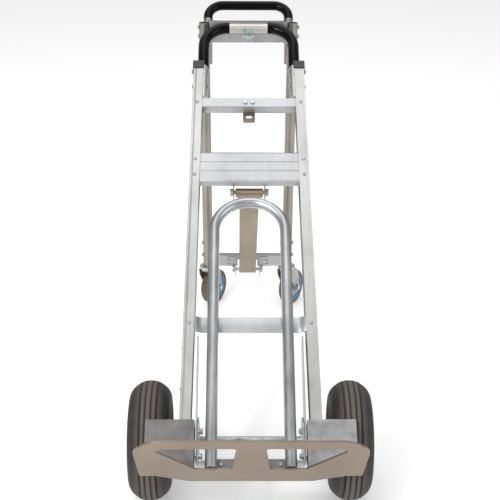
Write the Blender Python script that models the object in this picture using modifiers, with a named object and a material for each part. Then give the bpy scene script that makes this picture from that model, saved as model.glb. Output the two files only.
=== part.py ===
"""Convertible hand truck, standing in its leaning, four wheel mode.

A ladder shaped main frame with a toe plate leans back on two pneumatic wheels. A rear
frame on two casters stands behind it, tied to it by a brace below and a latch above.
Each frame is modelled upright in its own axes (X across, Y to the back, Z up the frame)
and then tilted by its empty. All sizes are in metres, and all angles in degrees.
"""

import math

import bmesh
import bpy
from mathutils import Matrix, Vector

# Stance
MAIN_TILT = 31.1          # rise of the main frame above the floor
REAR_LEAN = 4.5           # how far the rear frame's top leans to the back
CASTER_SWIVEL = 30.0      # where the casters have come to rest
RUN_GAP = 0.0004          # between two pieces that touch
LATCH_GAP = 0.0025        # between the handle crown and the rear frame's upper beam

# Main wheels and axle
WHEEL_RADIUS = 0.132
WHEEL_WIDTH = 0.092
WHEEL_TRACK = 0.440
AXLE_RADIUS = 0.008
AXLE_BEHIND = 0.142       # axle centre behind the front face of the rails
RIM_RADIUS = 0.0515
RIM_WIDTH = 0.057
RIM_LIP = 0.0065
RIM_WALL = 0.003
HUB_RADIUS = 0.022
HUB_BORE = 0.015
HUB_LENGTH = 0.070
BEARING_WALL = 0.0055
AXLE_COLLAR_RADIUS = 0.014
AXLE_COLLAR_WIDTH = 0.005

# Toe plate
TOE_THICKNESS = 0.0045
TOE_FRONT = 0.1345
TOE_HEEL = 0.060
TOE_HALF_WIDTH = 0.2395
TOE_HALF_FRONT = 0.200
TOE_HALF_SHOULDER = 0.199
TOE_HALF_HEEL = 0.129
WINDOW_FRONT = 0.102
WINDOW_HALF_INNER = 0.029
WINDOW_HALF_OUTER = 0.194

# Rails, one C section each side, closer together at the top
RAIL_HALF_FOOT = 0.1532
RAIL_HALF_TOP = 0.1416
RAIL_TOP = 1.129
RAIL_DEPTH = 0.058
RAIL_FLANGE = 0.025
RAIL_WALL = 0.003
RAIL_GROOVE = 0.0055      # groove in the front flange, from the outer corner
RAIL_GROOVE_WIDTH = 0.002
RAIL_GROOVE_DEPTH = 0.001
CAP_WALL = 0.0018
CAP_SKIRT = 0.023
SIDE_PLATE_TOP = 0.325
SIDE_PLATE_INSET = 0.0104
SIDE_PLATE_WALL = 0.003

# Members between the rails
CROSSBAR_BOTTOM = 0.980
CROSSBAR_HEIGHT = 0.0275
CROSSBAR_DEPTH = 0.026
CROSSBAR_WALL = 0.003
STEP_BOTTOM = 0.7455
STEP_HEIGHT = 0.090
STEP_DEPTH = 0.020
STEP_WALL = 0.003
STEP_CHAMFER = 0.005
STEP_GROOVES = (0.0320, 0.0590)
STEP_GROOVE_WIDTH = 0.003
STEP_LIP = 0.006
STRAP_BOTTOM = 0.3325
STRAP_HEIGHT = 0.0385
STRAP_WALL = 0.003
STRAP_BOW = 0.009
CATCH_WIDTH = 0.030
CATCH_DROP = 0.029
CATCH_WALL = 0.003
CROSSBAR_BOLT_SPACING = 0.0182
SMALL_BOLT_RADIUS = 0.003
SMALL_HEAD_RADIUS = 0.0055
SMALL_HEAD_HEIGHT = 0.0035

# Main handle
HANDLE_TUBE = 0.0127
HANDLE_HALF = 0.118
HANDLE_FOOT = 1.027
HANDLE_CROWN = 1.2736
HANDLE_BEHIND = 0.029
HANDLE_BEND = 0.065
GRIP_WALL = 0.0013
GRIP_FOOT = 1.134
GRIP_END_HALF = 0.0505
HANDLE_BOLTS = (1.068, 1.1185)   # the upper one also holds the cap

# Load hoop
HOOP_TUBE = 0.0127
HOOP_HALF = 0.083
HOOP_CROWN = 0.678
HOOP_BEHIND = -0.002

# Wheel guards and axle brackets
GUARD_INNER = 0.119
GUARD_OUTER = 0.223
GUARD_TOP = 0.113
GUARD_WALL = 0.003
GUARD_RETURN = 0.050
BRACKET_WALL = 0.003
BRACKET_INSET = 0.0006
BRACKET_TOP = 0.118
BRACKET_FOOT_STEP = 0.0165
BRACKET_SHELF = 0.028
BRACKET_EYE = 0.019
BASE_ANGLE_HALF = 0.090
BASE_ANGLE_HEIGHT = 0.024
BASE_ANGLE_FOOT = 0.022

# Latch: a pin under the crown of the main handle, square to the rear frame's upper beam
LATCH_HALF_WIDTH = 0.01125
LATCH_TOP = 0.0035         # above the crown's centre line
LATCH_BELOW_PIN = 0.008
LATCH_WALL = 0.003
LATCH_WRAP = 0.005
PIN_RADIUS = 0.004
PIN_DROP = HANDLE_TUBE + 0.0048   # below the crown's centre line
PIN_GAP = 0.0015          # from the pin's tip to the beam while the latch is open
PULL_AHEAD = 0.0325       # the pull bar, in front of the crown's centre line
PULL_HALF = 0.0153
PULL_RADIUS = 0.0035
EYE_AHEAD = 0.0405
EYE_HALF = 0.0012
EYE_HEIGHT = 0.0035
RING_RADIUS = 0.0095
RING_WIRE = 0.0013
RING_DROOP = 40.0         # how far the ring leans back from hanging straight down
PIN_HOLE_RADIUS = 0.0055

# Brace and its pivots
BRACE_PIVOT_UP = 0.742
BRACE_PIVOT_BEHIND = 0.045
BRACE_HALF_WIDTH = 0.0237
BRACE_THICKNESS = 0.014
BRACE_HEAD_HALF = 0.0335
BRACE_HEAD_LENGTH = 0.012
BRACE_HEAD_FILLET = 0.012
BRACE_BARREL = 0.010
BRACE_END = 0.012
PIVOT_BOLT_RADIUS = 0.005
PIVOT_BOLT_GAP = 0.0004
PIVOT_HEAD_RADIUS = 0.0095
PIVOT_HEAD_HEIGHT = 0.0075
CLEVIS_HALF = 0.0365
CLEVIS_WALL = 0.0025
CLEVIS_DEPTH = 0.036
CLEVIS_BOTTOM = 0.722
CLEVIS_TOP = 0.826
LUG_HALF = 0.0335
LUG_WALL = 0.003
LUG_DROP = 0.017

# Rear frame, whose axes start at the brace's lower pivot
HINGE_TO_LEG = 0.024
HINGE_TO_FOOT = 0.002
LEG_RADIUS = 0.014
LEG_WALL = 0.002
LEG_LENGTH = 0.702
LEG_HALF_FOOT = 0.1133
LEG_HALF_TOP = 0.1191
BEAM_WALL = 0.0025
UPPER_BEAM_HEIGHT = 0.055
UPPER_BEAM_RISE = 0.0035   # above the top of the legs
UPPER_TAB_DROP = 0.014
LOWER_BEAM_BOTTOM = 0.0038
LOWER_BEAM_HEIGHT = 0.031
LOWER_TAB_HEIGHT = 0.072
BEAM_NOTCH_HALF = 0.0285
BEAM_NOTCH_HEIGHT = 0.0195

# Rear handle, bolted behind the legs
REAR_TUBE = 0.0111
REAR_HALF = 0.109
REAR_FOOT_DROP = 0.110
REAR_BEND = 50.0
REAR_REACH = 0.062
REAR_CORNER = 0.040
REAR_KNEE = 0.024
REAR_GRIP_WALL = 0.0010
REAR_COLLAR = 0.012       # bare tube between the bend and the grip

# Casters
CASTER_HEIGHT = 0.125
CASTER_RADIUS = 0.0508
CASTER_WIDTH = 0.032
CASTER_TRAIL = 0.030
CASTER_CORE_RADIUS = 0.037
CASTER_HUB_RADIUS = 0.011
CASTER_BORE = 0.0055
CASTER_AXLE_RADIUS = 0.005
RACE_RADIUS = 0.025
RACE_HEIGHT = 0.007
STEM_LENGTH = 0.050
FORK_WALL = 0.0028
FORK_HALF = CASTER_WIDTH / 2 + 0.003
FORK_CROWN_HALF = 0.022
FORK_END_RADIUS = 0.012

TUBE_RESOLUTION = 6
BEND_STEPS = 8
WHEEL_STEPS = 32
SMALL_STEPS = 16

COLOURS = {
    "brushed_aluminium": ((0.62, 0.63, 0.64), 0.36, 1.0),
    "mill_aluminium": ((0.50, 0.47, 0.43), 0.45, 1.0),
    "zinc_steel": ((0.55, 0.57, 0.58), 0.32, 1.0),
    "black_vinyl": ((0.012, 0.012, 0.013), 0.18, 0.0),
    "black_plastic": ((0.030, 0.030, 0.032), 0.50, 0.0),
    "tyre_rubber": ((0.035, 0.031, 0.028), 0.80, 0.0),
    "painted_steel": ((0.30, 0.31, 0.32), 0.45, 0.0),
    "olive_rubber": ((0.14, 0.12, 0.05), 0.60, 0.0),
    "blue_core": ((0.03, 0.25, 0.50), 0.40, 0.0),
}


def clear_scene():
    for obj in list(bpy.data.objects):
        bpy.data.objects.remove(obj, do_unlink=True)


def new_collection(name):
    collection = bpy.data.collections.new(name)
    bpy.context.scene.collection.children.link(collection)
    return collection


clear_scene()
PARTS = new_collection("convertible_hand_truck")
CUTTERS = new_collection("cutters")


# Small helpers ------------------------------------------------------------------------

def new_material(name, finish):
    colour, roughness, metallic = COLOURS[finish]
    material = bpy.data.materials.new(name)
    material.use_nodes = True
    shader = material.node_tree.nodes["Principled BSDF"]
    shader.inputs["Base Color"].default_value = (*colour, 1.0)
    shader.inputs["Roughness"].default_value = roughness
    shader.inputs["Metallic"].default_value = metallic
    return material


def new_empty(name, parent, location=(0.0, 0.0, 0.0), rotation=(0.0, 0.0, 0.0)):
    empty = bpy.data.objects.new(name, None)
    PARTS.objects.link(empty)
    empty.parent = parent
    empty.location = location
    empty.rotation_euler = rotation
    empty.empty_display_size = 0.03
    return empty


def add_piece(name, mesh, parent, finish, smooth=True):
    """Link a mesh as a part, or as a cutter where it has no finish."""
    obj = bpy.data.objects.new(name, mesh)
    obj.parent = parent
    if finish is None:
        CUTTERS.objects.link(obj)
        obj.hide_render = True
        obj.display_type = "WIRE"
        return obj
    PARTS.objects.link(obj)
    mesh.materials.append(new_material(name, finish))
    if smooth:
        mesh.shade_smooth()
        mesh.set_sharp_from_angle(angle=math.radians(35))
    return obj


def mesh_from_curve(curve, matrix=None):
    """The closed, welded mesh of a curve, moved by a matrix."""
    holder = bpy.data.objects.new("curve_holder", curve)
    bpy.context.scene.collection.objects.link(holder)
    depsgraph = bpy.context.evaluated_depsgraph_get()
    mesh = bpy.data.meshes.new_from_object(holder.evaluated_get(depsgraph))
    bpy.data.objects.remove(holder, do_unlink=True)
    bpy.data.curves.remove(curve)
    if matrix is not None:
        mesh.transform(matrix)
    shape = bmesh.new()
    shape.from_mesh(mesh)
    bmesh.ops.remove_doubles(shape, verts=shape.verts, dist=0.000002)
    bmesh.ops.recalc_face_normals(shape, faces=shape.faces)
    shape.to_mesh(mesh)
    shape.free()
    return mesh


def poly_spline(curve, points, cyclic):
    spline = curve.splines.new("POLY")
    spline.points.add(len(points) - 1)
    for target, point in zip(spline.points, points):
        target.co = (*Vector(point).to_3d(), 1.0)
    spline.use_cyclic_u = cyclic


def fillet(points, radius, closed=False, steps=BEND_STEPS):
    """Round the corners of a path; radius is one value or one for each point."""
    points = [Vector(point) for point in points]
    radii = radius if isinstance(radius, (list, tuple)) else [radius] * len(points)
    rounded = []
    for index, corner in enumerate(points):
        ends = not closed and index in (0, len(points) - 1)
        if ends or radii[index] <= 0:
            rounded.append(corner)
            continue
        back = (points[index - 1] - corner).normalized()
        ahead = (points[(index + 1) % len(points)] - corner).normalized()
        half = back.angle(ahead) / 2
        centre = corner + (back + ahead).normalized() * radii[index] / math.sin(half)
        start = corner + back * radii[index] / math.tan(half) - centre
        stop = corner + ahead * radii[index] / math.tan(half) - centre
        sweep = start.angle(stop)
        for step in range(steps + 1):
            turn = sweep * step / steps
            blend = start * math.sin(sweep - turn) + stop * math.sin(turn)
            rounded.append(centre + blend / math.sin(sweep))
    return rounded


def mirrored_outline(half):
    """A closed outline from its +X half, given from one end of the middle to the other."""
    return list(half) + [(-x, y) for x, y in reversed(half)]


# The plane of a flat outline: across X, across Y (X and Z), or across Z (X and Y)
PLANES = {
    "x": Matrix(((0, 0, 1), (1, 0, 0), (0, 1, 0))).to_4x4(),
    "y": Matrix(((1, 0, 0), (0, 0, -1), (0, 1, 0))).to_4x4(),
    "z": Matrix.Identity(4),
}


def add_plate(name, outline, low, high, across, parent, finish, holes=()):
    """A flat outline, thick from low to high along the axis that it lies across."""
    curve = bpy.data.curves.new(name, "CURVE")
    curve.dimensions = "2D"
    curve.fill_mode = "BOTH"
    curve.extrude = (high - low) / 2
    poly_spline(curve, outline, True)
    for hole in holes:
        poly_spline(curve, hole, True)
    middle = (low + high) / 2 * (-1 if across == "y" else 1)
    matrix = PLANES[across] @ Matrix.Translation((0.0, 0.0, middle))
    return add_piece(name, mesh_from_curve(curve, matrix), parent, finish)


def add_tube(name, path, radius, parent, finish):
    curve = bpy.data.curves.new(name, "CURVE")
    curve.dimensions = "3D"
    curve.bevel_depth = radius
    curve.bevel_resolution = TUBE_RESOLUTION
    curve.use_fill_caps = True
    poly_spline(curve, path, False)
    return add_piece(name, mesh_from_curve(curve), parent, finish)


def add_sleeve(name, path, bore, wall, parent, finish):
    """A soft sleeve over a tube: the open surface of its bore, made thick outwards."""
    curve = bpy.data.curves.new(name, "CURVE")
    curve.dimensions = "3D"
    curve.bevel_depth = bore
    curve.bevel_resolution = TUBE_RESOLUTION
    poly_spline(curve, path, False)
    sleeve = add_piece(name, mesh_from_curve(curve), parent, finish)
    wall_modifier = sleeve.modifiers.new("wall", "SOLIDIFY")
    wall_modifier.thickness = wall
    wall_modifier.offset = 1.0
    return sleeve


def add_rod(name, start, end, radius, parent, finish, sides=SMALL_STEPS):
    start, end = Vector(start), Vector(end)
    along = end - start
    turn = along.to_track_quat("Z", "Y").to_matrix().to_4x4()
    turn = turn @ Matrix.Rotation(math.pi / sides, 4, "Z")
    shape = bmesh.new()
    bmesh.ops.create_cone(
        shape, cap_ends=True, segments=sides, radius1=radius, radius2=radius,
        depth=along.length, matrix=Matrix.Translation((start + end) / 2) @ turn)
    mesh = bpy.data.meshes.new(name)
    shape.to_mesh(mesh)
    shape.free()
    return add_piece(name, mesh, parent, finish)


def add_block(name, low, high, parent, finish):
    low, high = Vector(low), Vector(high)
    size = high - low
    shape = bmesh.new()
    bmesh.ops.create_cube(
        shape, size=1.0,
        matrix=Matrix.Translation((low + high) / 2) @ Matrix.Diagonal((*size, 1.0)))
    mesh = bpy.data.meshes.new(name)
    shape.to_mesh(mesh)
    shape.free()
    return add_piece(name, mesh, parent, finish, smooth=False)


def add_turned(name, profile, centre, axis, parent, finish, ring=False, steps=SMALL_STEPS):
    """Turn a profile of (radius, height) points; a ring's profile is a closed loop."""
    mesh = bpy.data.meshes.new(name)
    shape = bmesh.new()
    vertices = [shape.verts.new((radius, 0.0, height)) for radius, height in profile]
    for first, second in zip(vertices, vertices[1:]):
        shape.edges.new((first, second))
    if ring:
        shape.edges.new((vertices[-1], vertices[0]))
    shape.to_mesh(mesh)
    shape.free()
    turned = add_piece(name, mesh, parent, finish, smooth=False)
    turned.location = centre
    if axis == "x":
        turned.rotation_euler = (0.0, math.radians(90), 0.0)
    screw = turned.modifiers.new("turn", "SCREW")
    screw.steps = steps
    screw.render_steps = steps
    screw.use_merge_vertices = True
    screw.merge_threshold = 0.00001
    return turned


def combine(target, tool, operation):
    step = target.modifiers.new(operation.lower(), "BOOLEAN")
    step.operation = operation
    step.object = tool


def round_bevel(obj, width, segments=1):
    bevel = obj.modifiers.new("edges", "BEVEL")
    bevel.width = width
    bevel.segments = segments
    bevel.limit_method = "ANGLE"


def bolt_profile(half_length, shank, head_radius, head_height):
    """Head at the top, nut of the same size at the bottom."""
    end = half_length + head_height
    return [(0.0, end), (head_radius, end), (head_radius, half_length), (shank, half_length),
            (shank, -half_length), (head_radius, -half_length), (head_radius, -end), (0.0, -end)]


def rail_half(height):
    """Half the span over the rails at a height up the main frame."""
    return RAIL_HALF_FOOT + (RAIL_HALF_TOP - RAIL_HALF_FOOT) * height / RAIL_TOP


def leg_half(height):
    """Half the spacing of the rear legs at a height above their feet."""
    return LEG_HALF_FOOT + (LEG_HALF_TOP - LEG_HALF_FOOT) * height / LEG_LENGTH


# Frames of reference -------------------------------------------------------------------

def tilt_matrix(angle):
    return Matrix.Rotation(math.radians(angle), 4, "X")


TRUCK = new_empty("hand_truck_origin", None)

main_rotation = MAIN_TILT - 90.0
axle_in_main = Vector((0.0, AXLE_BEHIND, WHEEL_RADIUS))
axle_in_truck = Vector((0.0, 0.0, WHEEL_RADIUS))
main_place = axle_in_truck - tilt_matrix(main_rotation) @ axle_in_main
MAIN = new_empty("main_frame_axes", TRUCK, main_place, (math.radians(main_rotation), 0.0, 0.0))


def main_point(x, y, z):
    return main_place + tilt_matrix(main_rotation) @ Vector((x, y, z))


# The rear frame stands on its casters with its upper beam just behind the crown
rear_turn = tilt_matrix(-REAR_LEAN)
rear_back = rear_turn @ Vector((0.0, 1.0, 0.0))
rear_up = rear_turn @ Vector((0.0, 0.0, 1.0))
swivel_sine = math.sin(math.radians(CASTER_SWIVEL))
swivel_cosine = math.cos(math.radians(CASTER_SWIVEL))
wheel_from_foot = (rear_back * CASTER_TRAIL * swivel_cosine
                   - rear_up * (CASTER_HEIGHT - CASTER_RADIUS))
foot_height = CASTER_RADIUS - wheel_from_foot.z
crown_point = main_point(0.0, HANDLE_BEHIND, HANDLE_CROWN)
leg_line = crown_point + rear_back * (HANDLE_TUBE + LATCH_GAP + LEG_RADIUS)
foot_point = leg_line + rear_up * (foot_height - leg_line.z) / rear_up.z
CROWN_ON_LEG = (leg_line - foot_point).length
hinge_place = foot_point - rear_back * HINGE_TO_LEG - rear_up * HINGE_TO_FOOT
REAR = new_empty("rear_frame_axes", TRUCK, hinge_place, (math.radians(-REAR_LEAN), 0.0, 0.0))

LATCH = new_empty("latch_axes", TRUCK, crown_point, (math.radians(-REAR_LEAN), 0.0, 0.0))

brace_place = main_point(0.0, BRACE_PIVOT_BEHIND, BRACE_PIVOT_UP)
brace_reach = hinge_place - brace_place
BRACE_LENGTH = brace_reach.length
brace_rotation = math.atan2(brace_reach.y, -brace_reach.z)
BRACE = new_empty("brace_axes", TRUCK, brace_place, (brace_rotation, 0.0, 0.0))


# Main frame ----------------------------------------------------------------------------

def make_rail(name, side):
    axes = new_empty(name + "_axes", MAIN, (side * RAIL_HALF_FOOT, 0.0, 0.0))
    lean = math.atan2(RAIL_HALF_FOOT - RAIL_HALF_TOP, RAIL_TOP)
    axes.rotation_euler = (0.0, -side * lean, 0.0)
    groove_end = RAIL_GROOVE + RAIL_GROOVE_WIDTH
    inner_back = RAIL_DEPTH - RAIL_WALL
    section = [
        (0.0, 0.0), (RAIL_GROOVE, 0.0), (RAIL_GROOVE, RAIL_GROOVE_DEPTH),
        (groove_end, RAIL_GROOVE_DEPTH), (groove_end, 0.0), (RAIL_FLANGE, 0.0),
        (RAIL_FLANGE, RAIL_WALL), (RAIL_WALL, RAIL_WALL), (RAIL_WALL, inner_back),
        (RAIL_FLANGE, inner_back), (RAIL_FLANGE, RAIL_DEPTH), (0.0, RAIL_DEPTH)]
    outline = [(-side * x, y) for x, y in section]
    foot = TOE_THICKNESS + 0.002
    rail = add_plate(name, outline, foot, RAIL_TOP, "z", axes, "brushed_aluminium")
    for height in HANDLE_BOLTS:
        hole = add_rod(name + "_bolt_hole", (-0.02 * side, HANDLE_BEHIND, height),
                       (0.02 * side, HANDLE_BEHIND, height), SMALL_BOLT_RADIUS + RUN_GAP, axes, None)
        combine(rail, hole, "DIFFERENCE")
    return axes


def make_rail_cap(name, side, axes):
    """A pressed cap over the rail's end, open on its inner side for the handle."""
    gap = RUN_GAP
    inner = RAIL_FLANGE + gap + CAP_WALL
    outer = gap + CAP_WALL
    low = (-side * inner, -outer, RAIL_TOP - CAP_SKIRT)
    high = (side * outer, RAIL_DEPTH + outer, RAIL_TOP + gap + CAP_WALL)
    corners = [(min(a, b), max(a, b)) for a, b in zip(low, high)]
    cap = add_block(name, [a for a, _ in corners], [b for _, b in corners], axes, "black_plastic")
    round_bevel(cap, 0.0012, 2)
    pocket_x = sorted((-side * (inner + 0.01), side * gap))
    pocket = add_block(name + "_pocket", (pocket_x[0], -gap, RAIL_TOP - CAP_SKIRT - 0.01),
                       (pocket_x[1], RAIL_DEPTH + gap, RAIL_TOP + gap), axes, None)
    combine(cap, pocket, "DIFFERENCE")
    passage = add_rod(name + "_passage", (side * HANDLE_HALF, HANDLE_BEHIND, RAIL_TOP - 0.05),
                      (side * HANDLE_HALF, HANDLE_BEHIND, RAIL_TOP + 0.05),
                      HANDLE_TUBE + GRIP_WALL + 3 * gap, MAIN, None, sides=24)
    combine(cap, passage, "DIFFERENCE")
    hole = add_rod(name + "_bolt_hole", (-side * 0.01, HANDLE_BEHIND, HANDLE_BOLTS[1]),
                   (side * 0.01, HANDLE_BEHIND, HANDLE_BOLTS[1]), SMALL_BOLT_RADIUS + RUN_GAP,
                   axes, None)
    combine(cap, hole, "DIFFERENCE")


def make_side_plate(name, side):
    """Closes the foot of a rail's channel, with a cut top corner."""
    tip = rail_half(SIDE_PLATE_TOP) - RAIL_FLANGE
    outer = tip - SIDE_PLATE_INSET + SIDE_PLATE_WALL
    low, high = sorted((side * outer, side * (outer - SIDE_PLATE_WALL)))
    front, back = 0.003, RAIL_DEPTH - 0.003
    foot = BRACKET_SHELF + 0.004
    outline = [(front, foot), (back, foot), (back, SIDE_PLATE_TOP - 0.02),
               (back - 0.02, SIDE_PLATE_TOP), (front + 0.012, SIDE_PLATE_TOP),
               (front, SIDE_PLATE_TOP - 0.012)]
    add_plate(name, outline, low, high, "x", MAIN, "brushed_aluminium")
    return outer - SIDE_PLATE_WALL


def make_axle_bracket(name, side, outer):
    """A plate beside the rail that carries the axle, joggled inwards at its foot."""
    inner = outer - BRACKET_WALL
    low, high = sorted((side * outer, side * inner))
    eye = [(AXLE_BEHIND + BRACKET_EYE * math.cos(math.radians(angle)),
            WHEEL_RADIUS + BRACKET_EYE * math.sin(math.radians(angle)))
           for angle in range(-60, 91, 15)]
    front = HOOP_TUBE + HOOP_BEHIND + 0.004
    outline = [(front, BRACKET_SHELF - BRACKET_WALL), (RAIL_DEPTH, BRACKET_SHELF - BRACKET_WALL),
               (RAIL_DEPTH + 0.012, 0.060)] + eye + [(RAIL_DEPTH, BRACKET_TOP + 0.030),
                                                    (front + 0.006, BRACKET_TOP),
                                                    (front, BRACKET_TOP - 0.006)]
    bracket = add_plate(name, outline, low, high, "x", MAIN, "zinc_steel")
    foot_inner = outer - BRACKET_FOOT_STEP - BRACKET_WALL
    foot = TOE_THICKNESS + RUN_GAP
    shelf = [(inner + 0.001, BRACKET_SHELF - BRACKET_WALL), (foot_inner + BRACKET_WALL,
             BRACKET_SHELF - BRACKET_WALL), (foot_inner + BRACKET_WALL, foot), (foot_inner, foot),
             (foot_inner, BRACKET_SHELF), (inner + 0.001, BRACKET_SHELF)]
    joggle = add_plate(name + "_joggle", [(side * x, z) for x, z in shelf],
                       front + 0.0002, RAIL_DEPTH - 0.001, "y", MAIN, None)
    combine(bracket, joggle, "UNION")
    bore = add_rod(name + "_bore", (side * (inner - 0.01), AXLE_BEHIND, WHEEL_RADIUS),
                   (side * (outer + 0.01), AXLE_BEHIND, WHEEL_RADIUS),
                   AXLE_RADIUS + RUN_GAP, MAIN, None, sides=24)
    combine(bracket, bore, "DIFFERENCE")


def make_wheel_guard(name, side):
    """An upright angle on the toe plate, in front of the tyre and beside the rail."""
    front = -RUN_GAP
    outline = [(GUARD_INNER, front - GUARD_WALL), (GUARD_OUTER, front - GUARD_WALL),
               (GUARD_OUTER, front), (GUARD_INNER + GUARD_WALL, front),
               (GUARD_INNER + GUARD_WALL, GUARD_RETURN), (GUARD_INNER, GUARD_RETURN)]
    foot = TOE_THICKNESS + RUN_GAP
    add_plate(name, [(side * x, y) for x, y in outline], foot, GUARD_TOP, "z", MAIN, "mill_aluminium")


def make_toe_plate():
    shoulder = TOE_HEEL - 0.028
    half = [(0.0, -TOE_FRONT), (TOE_HALF_FRONT, -TOE_FRONT),
            (TOE_HALF_WIDTH, -TOE_FRONT + 0.040), (TOE_HALF_WIDTH - 0.007, shoulder),
            (TOE_HALF_SHOULDER, shoulder), (TOE_HALF_HEEL, TOE_HEEL), (0.0, TOE_HEEL)]
    rounding = [0, 0.045, 0.045, 0.003, 0, 0, 0]
    right = fillet(half, rounding, steps=4)
    outline = [tuple(point) for point in right[1:-1]]
    window = [(WINDOW_HALF_INNER, -WINDOW_FRONT), (WINDOW_HALF_OUTER - 0.009, -WINDOW_FRONT + 0.001),
              (WINDOW_HALF_OUTER, -WINDOW_FRONT + 0.014), (0.113, 0.0), (0.040, 0.0)]
    window = fillet(window, [0.008, 0.006, 0.006, 0.008, 0.005], closed=True, steps=3)
    left_window = [(-point.x, point.y) for point in window]
    add_plate("toe_plate", mirrored_outline(outline), 0.0, TOE_THICKNESS, "z", MAIN,
              "mill_aluminium", holes=(window, left_window))


def make_hoop():
    foot = TOE_THICKNESS + RUN_GAP
    corners = [(-HOOP_HALF, HOOP_BEHIND, foot), (-HOOP_HALF, HOOP_BEHIND, HOOP_CROWN),
               (HOOP_HALF, HOOP_BEHIND, HOOP_CROWN), (HOOP_HALF, HOOP_BEHIND, foot)]
    path = fillet(corners, HOOP_HALF - 0.001, steps=10)
    add_tube("load_hoop", path, HOOP_TUBE, MAIN, "brushed_aluminium")


def make_base_angle():
    """A low angle on the toe plate, behind the feet of the hoop."""
    front = HOOP_TUBE + HOOP_BEHIND + RUN_GAP
    foot = TOE_THICKNESS + RUN_GAP
    outline = [(front, foot), (front + BASE_ANGLE_FOOT, foot),
               (front + BASE_ANGLE_FOOT, foot + 0.003), (front + 0.003, foot + 0.003),
               (front + 0.003, foot + BASE_ANGLE_HEIGHT), (front, foot + BASE_ANGLE_HEIGHT)]
    add_plate("base_angle", outline, -BASE_ANGLE_HALF, BASE_ANGLE_HALF, "x", MAIN, "mill_aluminium")


def web_half(height):
    """Half the clear width between the webs of the rails."""
    return rail_half(height) - RAIL_WALL - RUN_GAP


def make_crossbar():
    front = RAIL_WALL + RUN_GAP
    back = front + CROSSBAR_DEPTH
    wall = CROSSBAR_WALL
    top = CROSSBAR_BOTTOM + CROSSBAR_HEIGHT
    outline = [(front, CROSSBAR_BOTTOM), (back, CROSSBAR_BOTTOM), (back, CROSSBAR_BOTTOM + wall),
               (front + wall, CROSSBAR_BOTTOM + wall), (front + wall, top - wall),
               (back, top - wall), (back, top), (front, top)]
    half = web_half(top)
    crossbar = add_plate("upper_crossbar", outline, -half, half, "x", MAIN, "brushed_aluminium")
    middle = CROSSBAR_BOTTOM + CROSSBAR_HEIGHT / 2
    catch_front = back + RUN_GAP
    catch_back = catch_front + CATCH_WALL
    low, high = CROSSBAR_BOTTOM - CATCH_DROP, top - 0.004
    half_catch = CATCH_WIDTH / 2
    shape = fillet([(-half_catch, low), (half_catch, low), (half_catch, high), (-half_catch, high)],
                   0.004, closed=True, steps=3)
    slot = fillet([(-0.0085, low + 0.0125), (0.0085, low + 0.0125), (0.0085, low + 0.0215),
                   (-0.0085, low + 0.0215)], 0.004, closed=True, steps=3)
    catch = add_plate("catch_bracket", shape, catch_front, catch_back, "y", MAIN, "mill_aluminium",
                      holes=(slot,))
    for name, side in (("left", -1), ("right", 1)):
        x = side * CROSSBAR_BOLT_SPACING / 2
        half_length = (catch_back - front) / 2 + RUN_GAP
        centre = (x, (catch_back + front) / 2, middle)
        bolt = add_turned("crossbar_bolt_" + name,
                          bolt_profile(half_length, SMALL_BOLT_RADIUS, SMALL_HEAD_RADIUS,
                                       SMALL_HEAD_HEIGHT),
                          centre, "z", MAIN, "zinc_steel", steps=12)
        bolt.rotation_euler = (math.radians(90), 0.0, 0.0)
        hole = add_rod("crossbar_hole_" + name, (x, front - 0.01, middle),
                       (x, catch_back + 0.01, middle), SMALL_BOLT_RADIUS + RUN_GAP, MAIN, None)
        combine(crossbar, hole, "DIFFERENCE")
        combine(catch, hole, "DIFFERENCE")


def make_step():
    front = RAIL_WALL + RUN_GAP
    back = front + STEP_DEPTH
    bottom, top, wall = STEP_BOTTOM, STEP_BOTTOM + STEP_HEIGHT, STEP_WALL
    face = [(front, bottom + STEP_CHAMFER)]
    for groove in STEP_GROOVES:
        middle = bottom + groove
        face += [(front, middle - STEP_GROOVE_WIDTH / 2), (front + 0.0012, middle),
                 (front, middle + STEP_GROOVE_WIDTH / 2)]
    face += [(front, top - STEP_CHAMFER)]
    outline = ([(back, bottom), (front + STEP_CHAMFER / 2, bottom)] + face
               + [(front + STEP_CHAMFER / 2, top), (back, top), (back, top - STEP_LIP),
                  (back - wall, top - STEP_LIP), (back - wall, top - wall),
                  (front + wall + 0.001, top - wall), (front + wall, top - STEP_CHAMFER),
                  (front + wall, bottom + STEP_CHAMFER), (front + wall + 0.001, bottom + wall),
                  (back - wall, bottom + wall), (back - wall, bottom + STEP_LIP),
                  (back, bottom + STEP_LIP)])
    half = web_half(top)
    add_plate("step", outline, -half, half, "x", MAIN, "brushed_aluminium")


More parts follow.
